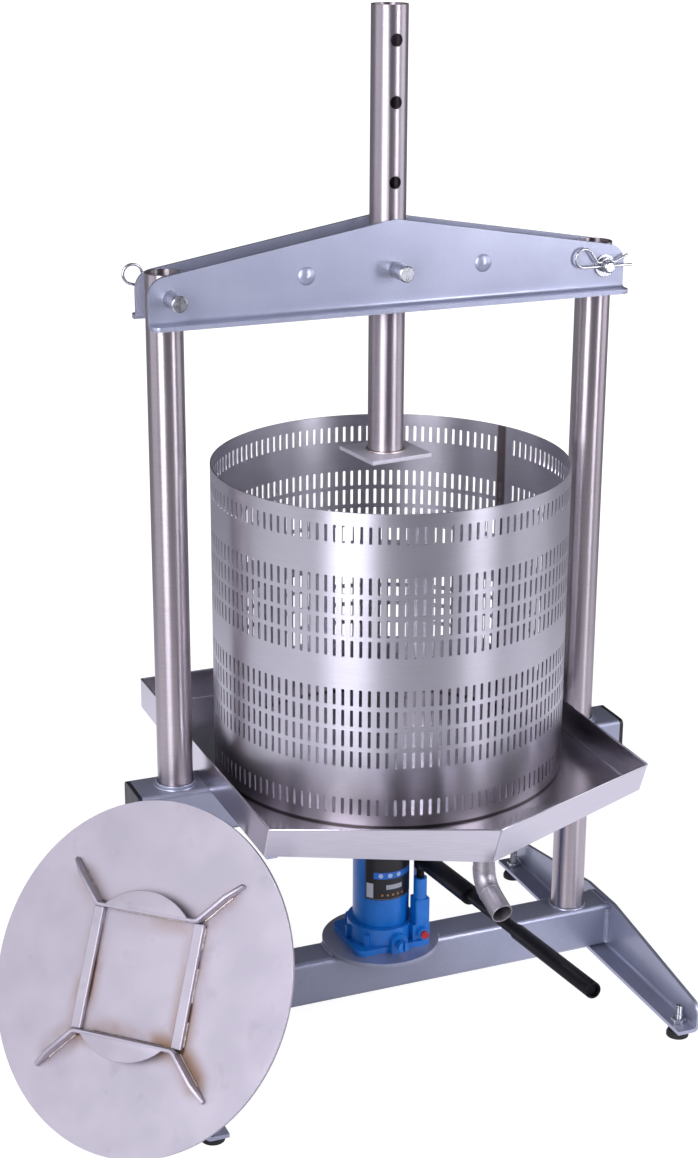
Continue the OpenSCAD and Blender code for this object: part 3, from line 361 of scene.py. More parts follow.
def plate_steel(name, welded_face):
    """Rolled stainless plate: pale, matt and lightly scuffed, with straw and brown tint at its welds."""
    made, tree = new_material(name)
    place = add(tree, "TexCoord").outputs["Object"]
    turn = plate_turn()
    own = add(
        tree,
        "Mapping",
        {"Vector": place, "Location": turn.translation, "Rotation": turn.to_euler()},
        vector_type="TEXTURE",
    )
    cloud = add(tree, "TexNoise", {"Vector": place, "Scale": 1 / (55 * MM), "Detail": 2})
    if welded_face:
        # How far a point lies from the side bars, ribs and bent arms, in one quarter of the plate.
        folded = add(tree, "VectorMath", {0: own}, operation="ABSOLUTE")
        across = add(tree, "SeparateXYZ", {"Vector": folded})
        past_x = add(tree, "Math", {0: across.outputs["X"], 1: SOCKET_HALF}, operation="SUBTRACT")
        past_y = add(tree, "Math", {0: across.outputs["Y"], 1: SOCKET_HALF}, operation="SUBTRACT")
        over_x = add(tree, "Math", {0: past_x, 1: 0}, operation="MAXIMUM")
        over_y = add(tree, "Math", {0: past_y, 1: 0}, operation="MAXIMUM")
        to_bar = add(tree, "CombineXYZ", {"X": past_x, "Y": over_y})
        to_rib = add(tree, "CombineXYZ", {"X": over_x, "Y": past_y})
        corner = add(tree, "CombineXYZ", {"X": past_x, "Y": past_y})
        turned = add(
            tree, "VectorRotate", {"Vector": corner, "Angle": -math.pi / 4}, rotation_type="Z_AXIS"
        )
        arm = add(tree, "SeparateXYZ", {"Vector": turned})
        held = add(tree, "Clamp", {"Value": arm.outputs["X"], "Min": 0, "Max": ARM_TINT})
        run = add(tree, "Math", {0: arm.outputs["X"], 1: held}, operation="SUBTRACT")
        to_arm = add(tree, "CombineXYZ", {"X": run, "Y": arm.outputs["Y"]})
        bar_gap = add(tree, "VectorMath", {0: to_bar}, operation="LENGTH")
        rib_gap = add(tree, "VectorMath", {0: to_rib}, operation="LENGTH")
        arm_gap = add(tree, "VectorMath", {0: to_arm}, operation="LENGTH")
        nearer = add(tree, "Math", {0: bar_gap, 1: rib_gap}, operation="MINIMUM")
        gap = add(tree, "Math", {0: nearer, 1: arm_gap}, operation="MINIMUM")
        edge = bar_gap
        tint, scorch = FACE_TINT, FACE_SCORCH
    else:
        # How far a point of a bar or rib stands over the plate's face.
        gap = add(tree, "SeparateXYZ", {"Vector": own}).outputs["Z"]
        edge = gap
        tint, scorch = BAR_TINT, BAR_SCORCH
    heat = add(
        tree,
        "MapRange",
        {"Value": gap, "From Min": tint[0], "From Max": tint[1], "To Min": 1, "To Max": 0},
        **SMOOTH,
    )
    line = add(
        tree,
        "MapRange",
        {"Value": edge, "From Min": scorch[0], "From Max": scorch[1], "To Min": 1, "To Max": 0},
        **SMOOTH,
    )
    patchy = add(
        tree, "MapRange", {"Value": cloud, "From Min": 0.38, "From Max": 0.6, "To Min": 0.1, "To Max": 0.85}
    )
    # The lower welds ran hotter.
    own_axes = add(tree, "SeparateXYZ", {"Vector": own}).outputs
    height = own_axes["Y"]
    lower = add(
        tree,
        "MapRange",
        {"Value": height, "From Min": COOL_SIDE, "From Max": HOT_SIDE, "To Min": 0.55, "To Max": 1.2},
    )
    hotter = add(tree, "Math", {0: heat, 1: lower}, operation="MULTIPLY")
    tinted = add(tree, "Math", {0: hotter, 1: patchy}, operation="MULTIPLY")
    # The plate's back isn't scorched.
    front = add(tree, "Math", {0: own_axes["Z"], 1: 0}, operation="GREATER_THAN")
    shown = add(tree, "Math", {0: line, 1: front}, operation="MULTIPLY")
    scorched = add(tree, "Math", {0: shown, 1: patchy}, operation="MULTIPLY")
    rubbed = add(tree, "MapRange", {"Value": cloud, "From Min": 0.35, "From Max": 0.65})
    clean = add(
        tree, "Mix", {"Factor": rubbed, MIX_A: rgb("#B2ADB5"), MIX_B: rgb("#BCB7BE")}, data_type="RGBA"
    )
    handled = add(tree, "TexNoise", {"Vector": place, "Scale": 1 / (26 * MM), "Detail": 2})
    smudge = add(tree, "MapRange", {"Value": handled, "From Min": 0.64, "From Max": 0.8, "To Max": 0.3})
    bare = add(tree, "Mix", {"Factor": smudge, MIX_A: clean, MIX_B: rgb("#938D97")}, data_type="RGBA")
    warm = add(tree, "Mix", {"Factor": tinted, MIX_A: bare, MIX_B: rgb("#947B68")}, data_type="RGBA")
    colour = add(tree, "Mix", {"Factor": scorched, MIX_A: warm, MIX_B: rgb("#4E3626")}, data_type="RGBA")
    rough = add(
        tree, "MapRange", {"Value": cloud, "From Min": 0.3, "From Max": 0.7, "To Min": 0.44, "To Max": 0.54}
    )
    steel = add(tree, "BsdfPrincipled", {"Base Color": colour, "Metallic": 1.0, "Roughness": rough})
    add(tree, "OutputMaterial", {"Surface": steel})
    return made


def mottled(name, light, dark, patch_mm, rough, metallic=0.0, coat=0.0, grain_mm=0.0, shine=0.5):
    """A finish with soft patches of two shades and, on cast or moulded pieces, a fine uneven grain."""
    made, tree = new_material(name)
    place = add(tree, "TexCoord").outputs["Object"]
    patch = add(tree, "TexNoise", {"Vector": place, "Scale": 1 / (patch_mm * MM), "Detail": 3})
    share = add(tree, "MapRange", {"Value": patch, "From Min": 0.3, "From Max": 0.7})
    colour = add(tree, "Mix", {"Factor": share, MIX_A: rgb(dark), MIX_B: rgb(light)}, data_type="RGBA")
    polish = add(
        tree,
        "MapRange",
        {"Value": patch, "From Min": 0.3, "From Max": 0.7, "To Min": rough[0], "To Max": rough[1]},
    )
    sockets = {"Base Color": colour, "Metallic": metallic, "Roughness": polish}
    sockets |= {"Specular IOR Level": shine, "Coat Weight": coat, "Coat Roughness": 0.12}
    if grain_mm:
        grain = add(tree, "TexNoise", {"Vector": place, "Scale": 1 / (grain_mm * MM), "Detail": 2})
        bump = add(tree, "Bump", {"Height": grain, "Strength": 0.2, "Distance": 0.3 * MM})
        sockets["Normal"] = bump
    surface = add(tree, "BsdfPrincipled", sockets)
    add(tree, "OutputMaterial", {"Surface": surface})
    return made


def label_film(low, high):
    """Printed film on the jack's reservoir: satin black with a blue band, pale blocks and dots."""
    made, tree = new_material("printed_film")
    place = add(tree, "TexCoord").outputs["Object"]
    middle = middle_of("jack_reservoir")
    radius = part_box("jack_reservoir")[1].x - middle.x
    own = add(tree, "VectorMath", {0: place, 1: (middle.x, middle.y, low)}, operation="SUBTRACT")
    parts = add(tree, "SeparateXYZ", {"Vector": own})
    turn = add(tree, "Math", {0: parts.outputs["Y"], 1: parts.outputs["X"]}, operation="ARCTAN2")
    off = add(tree, "Math", {0: turn, 1: FILM_FACING}, operation="SUBTRACT")
    side = add(tree, "Math", {0: off, 1: radius}, operation="MULTIPLY")
    spot = add(tree, "CombineXYZ", {"X": side, "Y": parts.outputs["Z"]})
    half, rise = FILM_HALF * radius, (high - low) / 2
    colour = rgb("#141518")
    # Each block: its middle across and up the film, half of its width and height, and its colour.
    blocks = (
        (0, rise, half - FILM_FRAME, rise - FILM_FRAME, "#70747E"),
        (0, rise, half - FILM_FRAME_IN, rise - FILM_FRAME_IN, "#141518"),
        (4 * MM, 34 * MM, half - 8 * MM, 4.5 * MM, "#1F6AC6"),
        (-30 * MM, 13 * MM, 4.5 * MM, 10 * MM, "#B9BCC4"),
        (2 * MM, 18 * MM, 11 * MM, 3.2 * MM, "#A3A6AE"),
    )
    for x, z, wide, tall, shade in blocks:
        across = add(tree, "Math", {0: side, 1: x, 2: wide}, operation="COMPARE")
        upward = add(tree, "Math", {0: parts.outputs["Z"], 1: z, 2: tall}, operation="COMPARE")
        inside = add(tree, "Math", {0: across, 1: upward}, operation="MULTIPLY")
        colour = add(tree, "Mix", {"Factor": inside, MIX_A: colour, MIX_B: rgb(shade)}, data_type="RGBA")
    dots = [(x * MM, 34 * MM, 3 * MM, "#A9C6EA") for x in (-16, -4, 8)]
    dots += [(x * MM, 7 * MM, 1.5 * MM, "#A8703A") for x in (-14, -7, 0, 7, 14)]
    for x, z, size, shade in dots:
        away = add(tree, "VectorMath", {0: spot, 1: (x, z, 0)}, operation="DISTANCE")
        inside = add(tree, "Math", {0: away, 1: size}, operation="LESS_THAN")
        colour = add(tree, "Mix", {"Factor": inside, MIX_A: colour, MIX_B: rgb(shade)}, data_type="RGBA")
    dust = add(tree, "TexNoise", {"Vector": place, "Scale": 1 / (5 * MM), "Detail": 2})
    rough = add(
        tree, "MapRange", {"Value": dust, "From Min": 0.3, "From Max": 0.7, "To Min": 0.3, "To Max": 0.42}
    )
    film = add(tree, "BsdfPrincipled", {"Base Color": colour, "Roughness": rough})
    add(tree, "OutputMaterial", {"Surface": film})
    return made


def finish_nodes(material, *names):
    """Gives CAD nodes one finish."""
    for name in names:
        NODES[name].data.materials.clear()
        NODES[name].data.materials.append(material)


def round_edges(piece, width):
    """Rounds the sharp edges of a piece."""
    edge = piece.modifiers.new("edge", "BEVEL")
    edge.width = width
    edge.segments = 3
    edge.limit_method = "ANGLE"
    edge.angle_limit = SHARP


def soften(width, *names):
    """Rounds the sharp edges of CAD nodes, as a sheared, cast or coated edge is."""
    for name in names:
        weld = NODES[name].modifiers.new("weld", "WELD")
        weld.merge_threshold = CAD_MERGE
        round_edges(NODES[name], width)


def edit_mode():
    """Opens the active piece for editing."""
    bpy.ops.object.mode_set(mode="EDIT")


def object_mode():
    """Closes the piece that is being edited."""
    bpy.ops.object.mode_set(mode="OBJECT")


def select_all():
    """In edit mode, selects the whole piece."""
    bpy.ops.mesh.select_all(action="SELECT")


def merge(distance):
    """In edit mode, makes one point of those that lie closer than a distance."""
    select_all()
    bpy.ops.mesh.remove_doubles(threshold=distance)


def deselect():
    """Leaves nothing selected, because an operator acts on all that is."""
    if bpy.context.mode != "OBJECT":
        object_mode()
    bpy.ops.object.select_all(action="DESELECT")


def hold(piece):
    """Selects one piece alone, as the active one."""
    deselect()
    piece.select_set(True)
    bpy.context.view_layer.objects.active = piece


def draw_out(way):
    """Extrudes the selected faces along a way."""
    bpy.ops.mesh.extrude_region_move(TRANSFORM_OT_translate={"value": way})


def draw_edges(way):
    """Extrudes the selected edges along a way."""
    bpy.ops.mesh.extrude_edges_move(TRANSFORM_OT_translate={"value": way})


def pick(kind, test):
    """In edit mode, selects only the vertices, edges or faces that pass a test."""
    bpy.ops.mesh.select_mode(type={"verts": "VERT", "edges": "EDGE", "faces": "FACE"}[kind])
    bpy.ops.mesh.select_all(action="DESELECT")
    shape = bmesh.from_edit_mesh(bpy.context.object.data)
    for part in getattr(shape, kind):
        if test(part):
            part.select_set(True)
    shape.select_flush_mode()
    bmesh.update_edit_mesh(bpy.context.object.data)


def settle():
    """Leaves edit mode with the normals pointing outwards and the piece's place in its mesh."""
    merge(MERGE)
    bpy.ops.mesh.normals_make_consistent(inside=False)
    object_mode()
    bpy.ops.object.transform_apply()
    return bpy.context.object


def apply_modifiers(piece):
    """Makes all the modifiers of the active piece part of its mesh."""
    for modifier in list(piece.modifiers):
        bpy.ops.object.modifier_apply(modifier=modifier.name)


def joined(pieces):
    """Several settled pieces as one."""
    deselect()
    for piece in pieces:
        piece.select_set(True)
    bpy.context.view_layer.objects.active = pieces[0]
    if len(pieces) > 1:
        bpy.ops.object.join()
    return bpy.context.object


def copies(piece, places):
    """The piece moved to the first place, and a copy of it with its own mesh at each other place."""
    made = [piece]
    while len(made) < len(places):
        hold(piece)
        bpy.ops.object.duplicate(linked=False)
        made.append(bpy.context.object)
    for each, place in zip(made, places):
        hold(each)
        each.matrix_world = place
        bpy.ops.object.transform_apply()
    return made


def hand_over(piece, name, material, body, stands_for=(), smooth=SHARP):
    """Names a finished piece, gives it its finish and puts it on its body."""
    hold(piece)
    bpy.ops.object.shade_smooth_by_angle(angle=smooth)
    piece.name = piece.data.name = name
    piece.data.materials.clear()
    piece.data.materials.append(material)
    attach(piece, body)
    if stands_for:
        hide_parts(*stands_for)


def slotted_sheet():
    """The basket's sheet: a slot in its cell, stacked in bands, repeated along it and rolled round."""
    low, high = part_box("basket")
    middle = (low + high) / 2
    radius = (high.x - low.x - SHEET) / 2
    pitch = 2 * math.pi * radius / SLOTS_ROUND
    step = SLOT_HEIGHT + SLOT_GAP
    deselect()
    bpy.ops.mesh.primitive_plane_add(size=1)
    sheet = bpy.context.object
    edit_mode()
    bpy.ops.transform.resize(value=(SLOT_WIDTH, SLOT_HEIGHT, 1))
    bpy.ops.mesh.bevel(affect="VERTICES", offset=SLOT_CORNER, segments=2)
    select_all()
    bpy.ops.mesh.delete(type="ONLY_FACE")
    select_all()
    bpy.ops.mesh.extrude_edges_move()
    shape = bmesh.from_edit_mesh(sheet.data)
    for vert in shape.verts:
        if vert.select:
            vert.co.x = math.copysign(pitch / 2, vert.co.x)
            vert.co.y = math.copysign(step / 2, vert.co.y) + RIM_PLAIN + SLOT_HEIGHT / 2
        else:
            vert.co.y += RIM_PLAIN + SLOT_HEIGHT / 2
    bmesh.update_edit_mesh(sheet.data)
    merge(MERGE)
    # Rows: each copy of the cell is moved up from the last one.
    height = 0
    for band in BANDS:
        for _ in range(band):
            if height:
                bpy.ops.mesh.duplicate_move(TRANSFORM_OT_translate={"value": (0, height, 0)})
            height = step
        height = SLOT_HEIGHT + BAND_PLAIN
    # Plain bands: the edges above and below each band are drawn out.
    top = high.z - low.z
    plain = BAND_PLAIN - SLOT_GAP
    base = RIM_PLAIN - SLOT_GAP / 2
    for band in BANDS:
        pick("edges", lambda edge: all(abs(vert.co.y - base) < MERGE for vert in edge.verts))
        draw_edges((0, -plain if base > RIM_PLAIN else -base, 0))
        base += band * step + plain
    ceiling = base - plain
    pick("edges", lambda edge: all(abs(vert.co.y - ceiling) < MERGE for vert in edge.verts))
    draw_edges((0, top - ceiling, 0))
    merge(MERGE)
    object_mode()
    run = sheet.modifiers.new("round", "ARRAY")
    run.count = SLOTS_ROUND - 1
    run.use_relative_offset = False
    run.use_constant_offset = True
    run.constant_offset_displace = (pitch, 0, 0)
    run.use_merge_vertices = True
    run.merge_threshold = MERGE
    apply_modifiers(sheet)
    # Seam: the last cell stays plain.
    edit_mode()
    end = (SLOTS_ROUND - 1.5) * pitch
    pick("edges", lambda edge: all(abs(vert.co.x - end) < MERGE for vert in edge.verts))
    draw_edges((pitch / 2, 0, 0))
    draw_edges((pitch / 2, 0, 0))
    select_all()
    bpy.ops.transform.translate(value=(-(SLOTS_ROUND - 1) * pitch / 2, 0, 0))
    object_mode()
    sheet.rotation_euler = (math.pi / 2, 0, 0)
    bpy.ops.object.transform_apply()
    roll = sheet.modifiers.new("roll", "SIMPLE_DEFORM")
    roll.deform_method = "BEND"
    roll.deform_axis = "Z"
    roll.angle = 2 * math.pi
    apply_modifiers(sheet)
    edit_mode()
    merge(ROLL_MERGE)
    bpy.ops.mesh.normals_make_consistent(inside=False)
    object_mode()
    # Its seam's middle comes out at one end of the run, half a cell past the back.
    turn = SEAM_ANGLE - math.pi / 2 - math.pi / SLOTS_ROUND
    place = Matrix.Translation((middle.x, middle.y, low.z)) @ Matrix.Rotation(turn, 4, "Z")
    sheet.matrix_world = place @ Matrix.Translation((0, -radius, 0))
    bpy.ops.object.transform_apply()
    wall = sheet.modifiers.new("sheet", "SOLIDIFY")
    wall.thickness = SHEET
    wall.offset = 0
    apply_modifiers(sheet)
    return sheet


def ring_bead(radius, thick, keep=None):
    """A weld run right round a tube, with its ripples. A test may keep only part of the ring."""
    deselect()
    count = 2 * round(2 * math.pi * radius / RIPPLE)
    bpy.ops.mesh.primitive_torus_add(
        major_radius=radius, minor_radius=thick, major_segments=count, minor_segments=BEAD_SIDES
    )
    edit_mode()
    pick("verts", lambda vert: vert.index // BEAD_SIDES % 2)
    bpy.ops.transform.shrink_fatten(value=-RIPPLE_SHARE * thick)
    if keep:
        pick("verts", lambda vert: not keep(vert.co))
        bpy.ops.mesh.delete(type="VERT")
        pick("edges", lambda edge: edge.is_boundary)
        bpy.ops.mesh.edge_face_add()
    return settle()


def straight_beads(runs, thick, ripples=True):
    """Weld runs of one length with rounded ends, from start to end: rippled, or plain as a bent edge is."""
    ways = [(Vector(start), Vector(end)) for start, end in runs]
    length = (ways[0][1] - ways[0][0]).length
    count = max(2, 2 * round(length / RIPPLE)) if ripples else 1
    step = length / count
    deselect()
    sides = BEAD_SIDES if ripples else BEND_SIDES
    bpy.ops.mesh.primitive_cylinder_add(vertices=sides, radius=thick, depth=length)
    edit_mode()
    if ripples:
        pick("edges", lambda edge: abs(edge.verts[0].co.z - edge.verts[1].co.z) > length / 2)
        bpy.ops.mesh.subdivide(number_cuts=count - 1)
        pick("verts", lambda vert: round((vert.co.z + length / 2) / step) % 2)
        bpy.ops.transform.shrink_fatten(value=-RIPPLE_SHARE * thick)
    pick("faces", lambda face: abs(face.normal.z) > LEVEL)
    bpy.ops.mesh.bevel(affect="EDGES", offset=min(END_ROUND * thick, END_STEP * step), segments=2)
    bead = settle()
    places = []
    for start, end in ways:
        turn = (end - start).to_track_quat("Z", "Y")
        places.append(Matrix.LocRotScale((start + end) / 2, turn, None))
    return copies(bead, places)


def spring_clip():
    """A wire clip: a leg through its pin, a loop, and a leg that dips, rides over the pin and flares."""
    valley = Vector((-math.sin(CLIMB), 0, math.cos(CLIMB))) * (HUMP + BEND)
    dip = valley - Vector((math.sin(DIVE), 0, math.cos(DIVE))) * BEND
    slant = (LOOP * (1 + math.cos(DIVE)) - dip.z) / math.sin(DIVE)
    loop = Vector((dip.x - slant * math.cos(DIVE) - LOOP * math.sin(DIVE), 0, LOOP))
    deselect()
    bpy.ops.mesh.primitive_circle_add(
        vertices=14, radius=WIRE / 2, fill_type="NGON", location=(LEG, 0, 0), rotation=(0, math.pi / 2, 0)
    )
    bpy.ops.object.transform_apply()
    edit_mode()
    select_all()
    draw_out((loop.x - LEG, 0, 0))
    bpy.ops.mesh.spin(steps=36, angle=math.pi + DIVE, center=loop, axis=(0, -1, 0))
    down = Vector((math.cos(DIVE), 0, -math.sin(DIVE))) * slant
    draw_out(down)
    bpy.ops.mesh.spin(steps=12, angle=DIVE + CLIMB, center=valley, axis=(0, 1, 0))
    bpy.ops.mesh.spin(steps=14, angle=2 * CLIMB, center=(0, 0, 0), axis=(0, -1, 0))
    bpy.ops.mesh.spin(steps=10, angle=CLIMB + FLARE, center=(-valley.x, 0, valley.z), axis=(0, 1, 0))
    tip = Vector((math.cos(FLARE), 0, math.sin(FLARE))) * LEG / 2
    draw_out(tip)
    return settle()


def threaded_bar(radius, length, pitch):
    """A threaded bar, centred on the origin: a core with bevelled ends and a ridge wound round it."""
    core_radius = radius - CORE_SHARE * pitch
    deselect()
    bpy.ops.mesh.primitive_cylinder_add(vertices=32, radius=core_radius, depth=length)
    edit_mode()
    pick("faces", lambda face: abs(face.normal.z) > LEVEL)
    bpy.ops.mesh.bevel(affect="EDGES", offset=TIP_SHARE * pitch, segments=2)
    core = settle()
    deselect()
    bpy.ops.mesh.primitive_circle_add(
        vertices=4, radius=RIDGE_SHARE * pitch, location=(core_radius, 0, 0), rotation=(math.pi / 2, 0, 0)
    )
    ridge = bpy.context.object
    bpy.ops.object.transform_apply()
    wind = ridge.modifiers.new("wind", "SCREW")
    wind.screw_offset = pitch
    wind.iterations = int(length / pitch) - SPARE_TURNS
    wind.steps = wind.render_steps = 24
    apply_modifiers(ridge)
    edit_mode()
    pick("edges", lambda edge: edge.is_boundary)
    bpy.ops.mesh.edge_face_add()
    object_mode()
    ridge.location.z = BARE_TURNS * pitch - length / 2
    edit_mode()
    settle()
    return joined([core, ridge])


def bent_rib():
    """A rib of the plate's socket: a strip on edge, bent out at both ends, with a half-moon lip."""
    middle = SOCKET_HALF + RIB_THICK / 2
    bend = RIB_ROUND + RIB_THICK / 2
    eighth = math.pi / 4
    straight = SOCKET_HALF - (RIB_THICK / 2 + bend) * math.tan(eighth / 2)
    arm = Vector((math.cos(eighth), math.sin(eighth), 0))
    run = RIB_ARM - (RIB_THICK / 2 + bend) * math.tan(eighth / 2)
    deselect()
    bpy.ops.mesh.primitive_plane_add(
        size=1, rotation=(0, math.pi / 2, 0), location=(0, middle, RIB_HEIGHT / 2)
    )
    rib = bpy.context.object
    rib.scale = (RIB_HEIGHT, RIB_THICK, 1)
    bpy.ops.object.transform_apply()
    edit_mode()
    select_all()
    draw_out((straight, 0, 0))
    bpy.ops.mesh.spin(steps=10, angle=eighth, center=(straight, middle + bend, 0), axis=(0, 0, -1))
    draw_out(arm * (run - RIB_FALL))
    draw_out(arm * RIB_FALL)
    end = max(vert.co.dot(arm) for vert in bmesh.from_edit_mesh(rib.data).verts)
    pick("verts", lambda vert: vert.co.dot(arm) > end - MM and vert.co.z > RIB_HEIGHT / 2)
    bpy.ops.transform.translate(value=(0, 0, RIB_TIP - RIB_HEIGHT))
    pick("faces", lambda face: abs(face.calc_center_median().x) < NEAR)
    bpy.ops.mesh.delete(type="FACE")
    merge(MERGE)
    bpy.ops.mesh.normals_make_consistent(inside=False)
    object_mode()
    other = rib.modifiers.new("other_half", "MIRROR")
    other.merge_threshold = MERGE
    round_edges(rib, RIB_EDGE)
    apply_modifiers(rib)
    # The lip is cut from a round disc.
    half = SOCKET_HALF - SIDE_BAR
    radius = (half * half + LIP_REACH * LIP_REACH) / (2 * LIP_REACH)
    back = SOCKET_HALF + RIB_THICK / 2
    deselect()
    bpy.ops.mesh.primitive_cylinder_add(
        vertices=160,
        radius=radius,
        depth=LIP_THICK,
        location=(0, SOCKET_HALF + RIB_THICK + LIP_REACH - radius, RIB_HEIGHT - LIP_THICK / 2),
    )
    lip = bpy.context.object
    bpy.ops.object.transform_apply()
    edit_mode()
    select_all()
    bpy.ops.mesh.bisect(plane_co=(0, back, 0), plane_no=(0, 1, 0), clear_inner=True, use_fill=True)
    object_mode()
    round_edges(lip, LIP_EDGE)
    apply_modifiers(lip)
    joined([rib, lip])
    edit_mode()
    return settle()


def hollow_grip():
    """The handle's grip: a thin sleeve whose end is open."""
    out = Vector(JOINTS["handle_pull"]["axis"]).normalized()
    grip = NODES["handle_grip"]
    points = [grip.matrix_world @ vert.co for vert in grip.data.vertices]
    middle = middle_of("handle_grip")
    reach = [(point - middle).dot(out) for point in points]
    radius = max(((point - middle) - out * (point - middle).dot(out)).length for point in points)
    length = max(reach) - min(reach)
    deselect()
    bpy.ops.mesh.primitive_cylinder_add(vertices=64, radius=radius, depth=length)
    sleeve = bpy.context.object
    edit_mode()
    pick("faces", lambda face: face.normal.z > LEVEL)
    bpy.ops.mesh.inset(thickness=GRIP_WALL)
    draw_out((0, 0, -GRIP_HOLLOW))
    bpy.ops.mesh.normals_make_consistent(inside=False)
    object_mode()
    round_edges(sleeve, GRIP_EDGE)
    apply_modifiers(sleeve)
    sleeve.rotation_mode = "QUATERNION"
    sleeve.rotation_quaternion = out.to_track_quat("Z", "Y")
    sleeve.location = middle + out * (max(reach) + min(reach)) / 2
    edit_mode()
    return settle()


def label_patch(low, high):
    """The film's shape: part of a tube round the reservoir with rounded corners."""
    box_low, box_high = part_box("jack_reservoir")
    middle = (box_low + box_high) / 2
    radius = (box_high.x - box_low.x) / 2 + FILM_OFF_WALL
    front = Vector((math.cos(FILM_FACING), math.sin(FILM_FACING), 0))
    deselect()
    bpy.ops.mesh.primitive_cylinder_add(
        vertices=120,
        radius=radius,
        depth=high - low,
        end_fill_type="NOTHING",
        location=(middle.x, middle.y, (low + high) / 2),
    )
    edit_mode()
    pick("faces", lambda face: face.normal.dot(front) < math.cos(FILM_HALF))
    bpy.ops.mesh.delete(type="FACE")
    pick("verts", lambda vert: len(vert.link_edges) == 2)
    bpy.ops.mesh.bevel(affect="VERTICES", offset=FILM_CORNER, segments=3)
    patch = settle()
    film = patch.modifiers.new("film", "SOLIDIFY")
    film.thickness = FILM_THICK
    film.offset = 1
    apply_modifiers(patch)
    return patch


def frame_beads():
    """Welds of the painted frame: column feet, beam ends on the feet's webs, and the jack's plate."""
    low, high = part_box("base_beam")
    feet = [middle_of(name) for name in COLUMNS]
    column_low, column_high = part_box("left_column")
    radius = (column_high.x - column_low.x) / 2
    places = [Matrix.Translation((foot.x, foot.y, high.z + RING_OVER)) for foot in feet]
    beads = copies(ring_bead(radius + RING_OFF, COLUMN_BEAD), places)
    ends = (low.x + MM, high.x - MM)
    sides = [((x, y, low.z + WEB_LOW), (x, y, high.z - WEB_HIGH)) for x in ends for y in (low.y, high.y)]
    beads += straight_beads(sides, WEB_BEAD)
    tops = [((x, low.y + BEAM_SHORT, high.z), (x, high.y - BEAM_SHORT, high.z)) for x in ends]
    beads += straight_beads(tops, BEAM_BEAD)
    pad_low, pad_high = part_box("jack_pad_plate")
    middle = (pad_low + pad_high) / 2
    half = (high.y - low.y) / 2 - PAD_SHORT
    ring = ring_bead((pad_high.x - pad_low.x) / 2, PAD_BEAD, keep=lambda place: abs(place.y) < half)
    beads += copies(ring, [Matrix.Translation((middle.x, middle.y, pad_low.z + MM))])
    return joined(beads)


def sleeve_beads():
    """Welds round the tops of the table's sleeves."""
    low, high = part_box("left_sleeve")
    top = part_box("table_beam")[1].z + SLEEVE_OVER
    middles = [middle_of(name) for name in SLEEVES]
    places = [Matrix.Translation((middle.x, middle.y, top)) for middle in middles]
    return joined(copies(ring_bead((high.x - low.x) / 2 + SLEEVE_OFF, SLEEVE_BEAD), places))


def plate_beads():
    """Welds of the press plate's socket, in short runs along the side bars, the ribs and their arms."""
    turn = plate_turn()
    face = PLATE_THICK / 2 + FACE_OVER
    edge = SOCKET_HALF + SIDE_BAR / 2
    beads = []
    for start, end in BAR_RUNS:
        bars = [
            (turn @ Vector((x, start * SOCKET_HALF, face)), turn @ Vector((x, end * SOCKET_HALF, face)))
            for x in (edge, -edge)
        ]
        beads += straight_beads(bars, SOCKET_BEAD)
    arms = []
    for sx in (1, -1):
        for sy in (1, -1):
            corner = Vector((sx * SOCKET_HALF, sy * SOCKET_HALF, face))
            along = Vector((sx, sy, 0)).normalized()
            across = Vector((-sx, sy, 0)).normalized()
            for side in (0, RIB_THICK):
                start = corner + across * side + along * PAST_CORNER
                arms.append((turn @ start, turn @ (start + along * (RIB_ARM - ARM_SHORT))))
    beads += straight_beads(arms, SOCKET_BEAD)
    reach = RIB_RUN * SOCKET_HALF
    ribs = [
        (turn @ Vector((-reach, y, face)), turn @ Vector((reach, y, face)))
        for y in (SOCKET_HALF - RIB_IN, RIB_IN - SOCKET_HALF)
    ]
    beads += straight_beads(ribs, RIB_BEAD)
    return joined(beads)


def tray_edges():
    """The tray's rounded rim, the bends inside it at its floor, and the ground weld down its point."""
    low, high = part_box("tray")
    half = TRAY_SHEET / 2
    left, right, back, front = low.x + half, high.x - half, high.y - half, low.y + TRAY_POINT
    middle = (low.x + high.x) / 2
    lean = (high.z - low.z) * math.tan(TRAY_LEAN)
    weld = ((middle, low.y, high.z - POINT_UNDER), (middle, low.y + lean, low.z + MM))
    beads = straight_beads([weld], POINT_BEAD)
    rim = high.z - RIM_UNDER
    point = (middle, low.y + half, rim)
    rims = (
        [((x, back, rim), (x, front, rim)) for x in (left, right)],
        [((x, front, rim), point) for x in (left, right)],
        [((left, back, rim), (right, back, rim))],
    )
    for runs in rims:
        beads += straight_beads(runs, RIM_BEAD, ripples=False)
    floor = high.z - TRAY_DEEP + TRAY_SHEET + FLOOR_OVER
    bends = (
        [((x, front + SLANT, floor), (x, back - MM, floor)) for x in (left + MM, right - MM)],
        [((left + MM, back - MM, floor), (right - MM, back - MM, floor))],
    )
    for runs in bends:
        beads += straight_beads(runs, BEND_BEAD, ripples=False)
    return joined(beads)


def rod_bead():
    """The weld round the press rod on its square foot."""
    low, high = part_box("press_rod")
    middle = (low + high) / 2
    ring = ring_bead((high.x - low.x) / 2 + RING_OFF, ROD_BEAD)
    return copies(ring, [Matrix.Translation((middle.x, middle.y, low.z + RING_OVER))])[0]


def seam_bead(at):
    """The basket's ground seam, a little proud inside and out."""
    low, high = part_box("basket")
    return straight_beads([((at.x, at.y, low.z + MM), (at.x, at.y, high.z - MM))], SEAM_BEAD)[0]


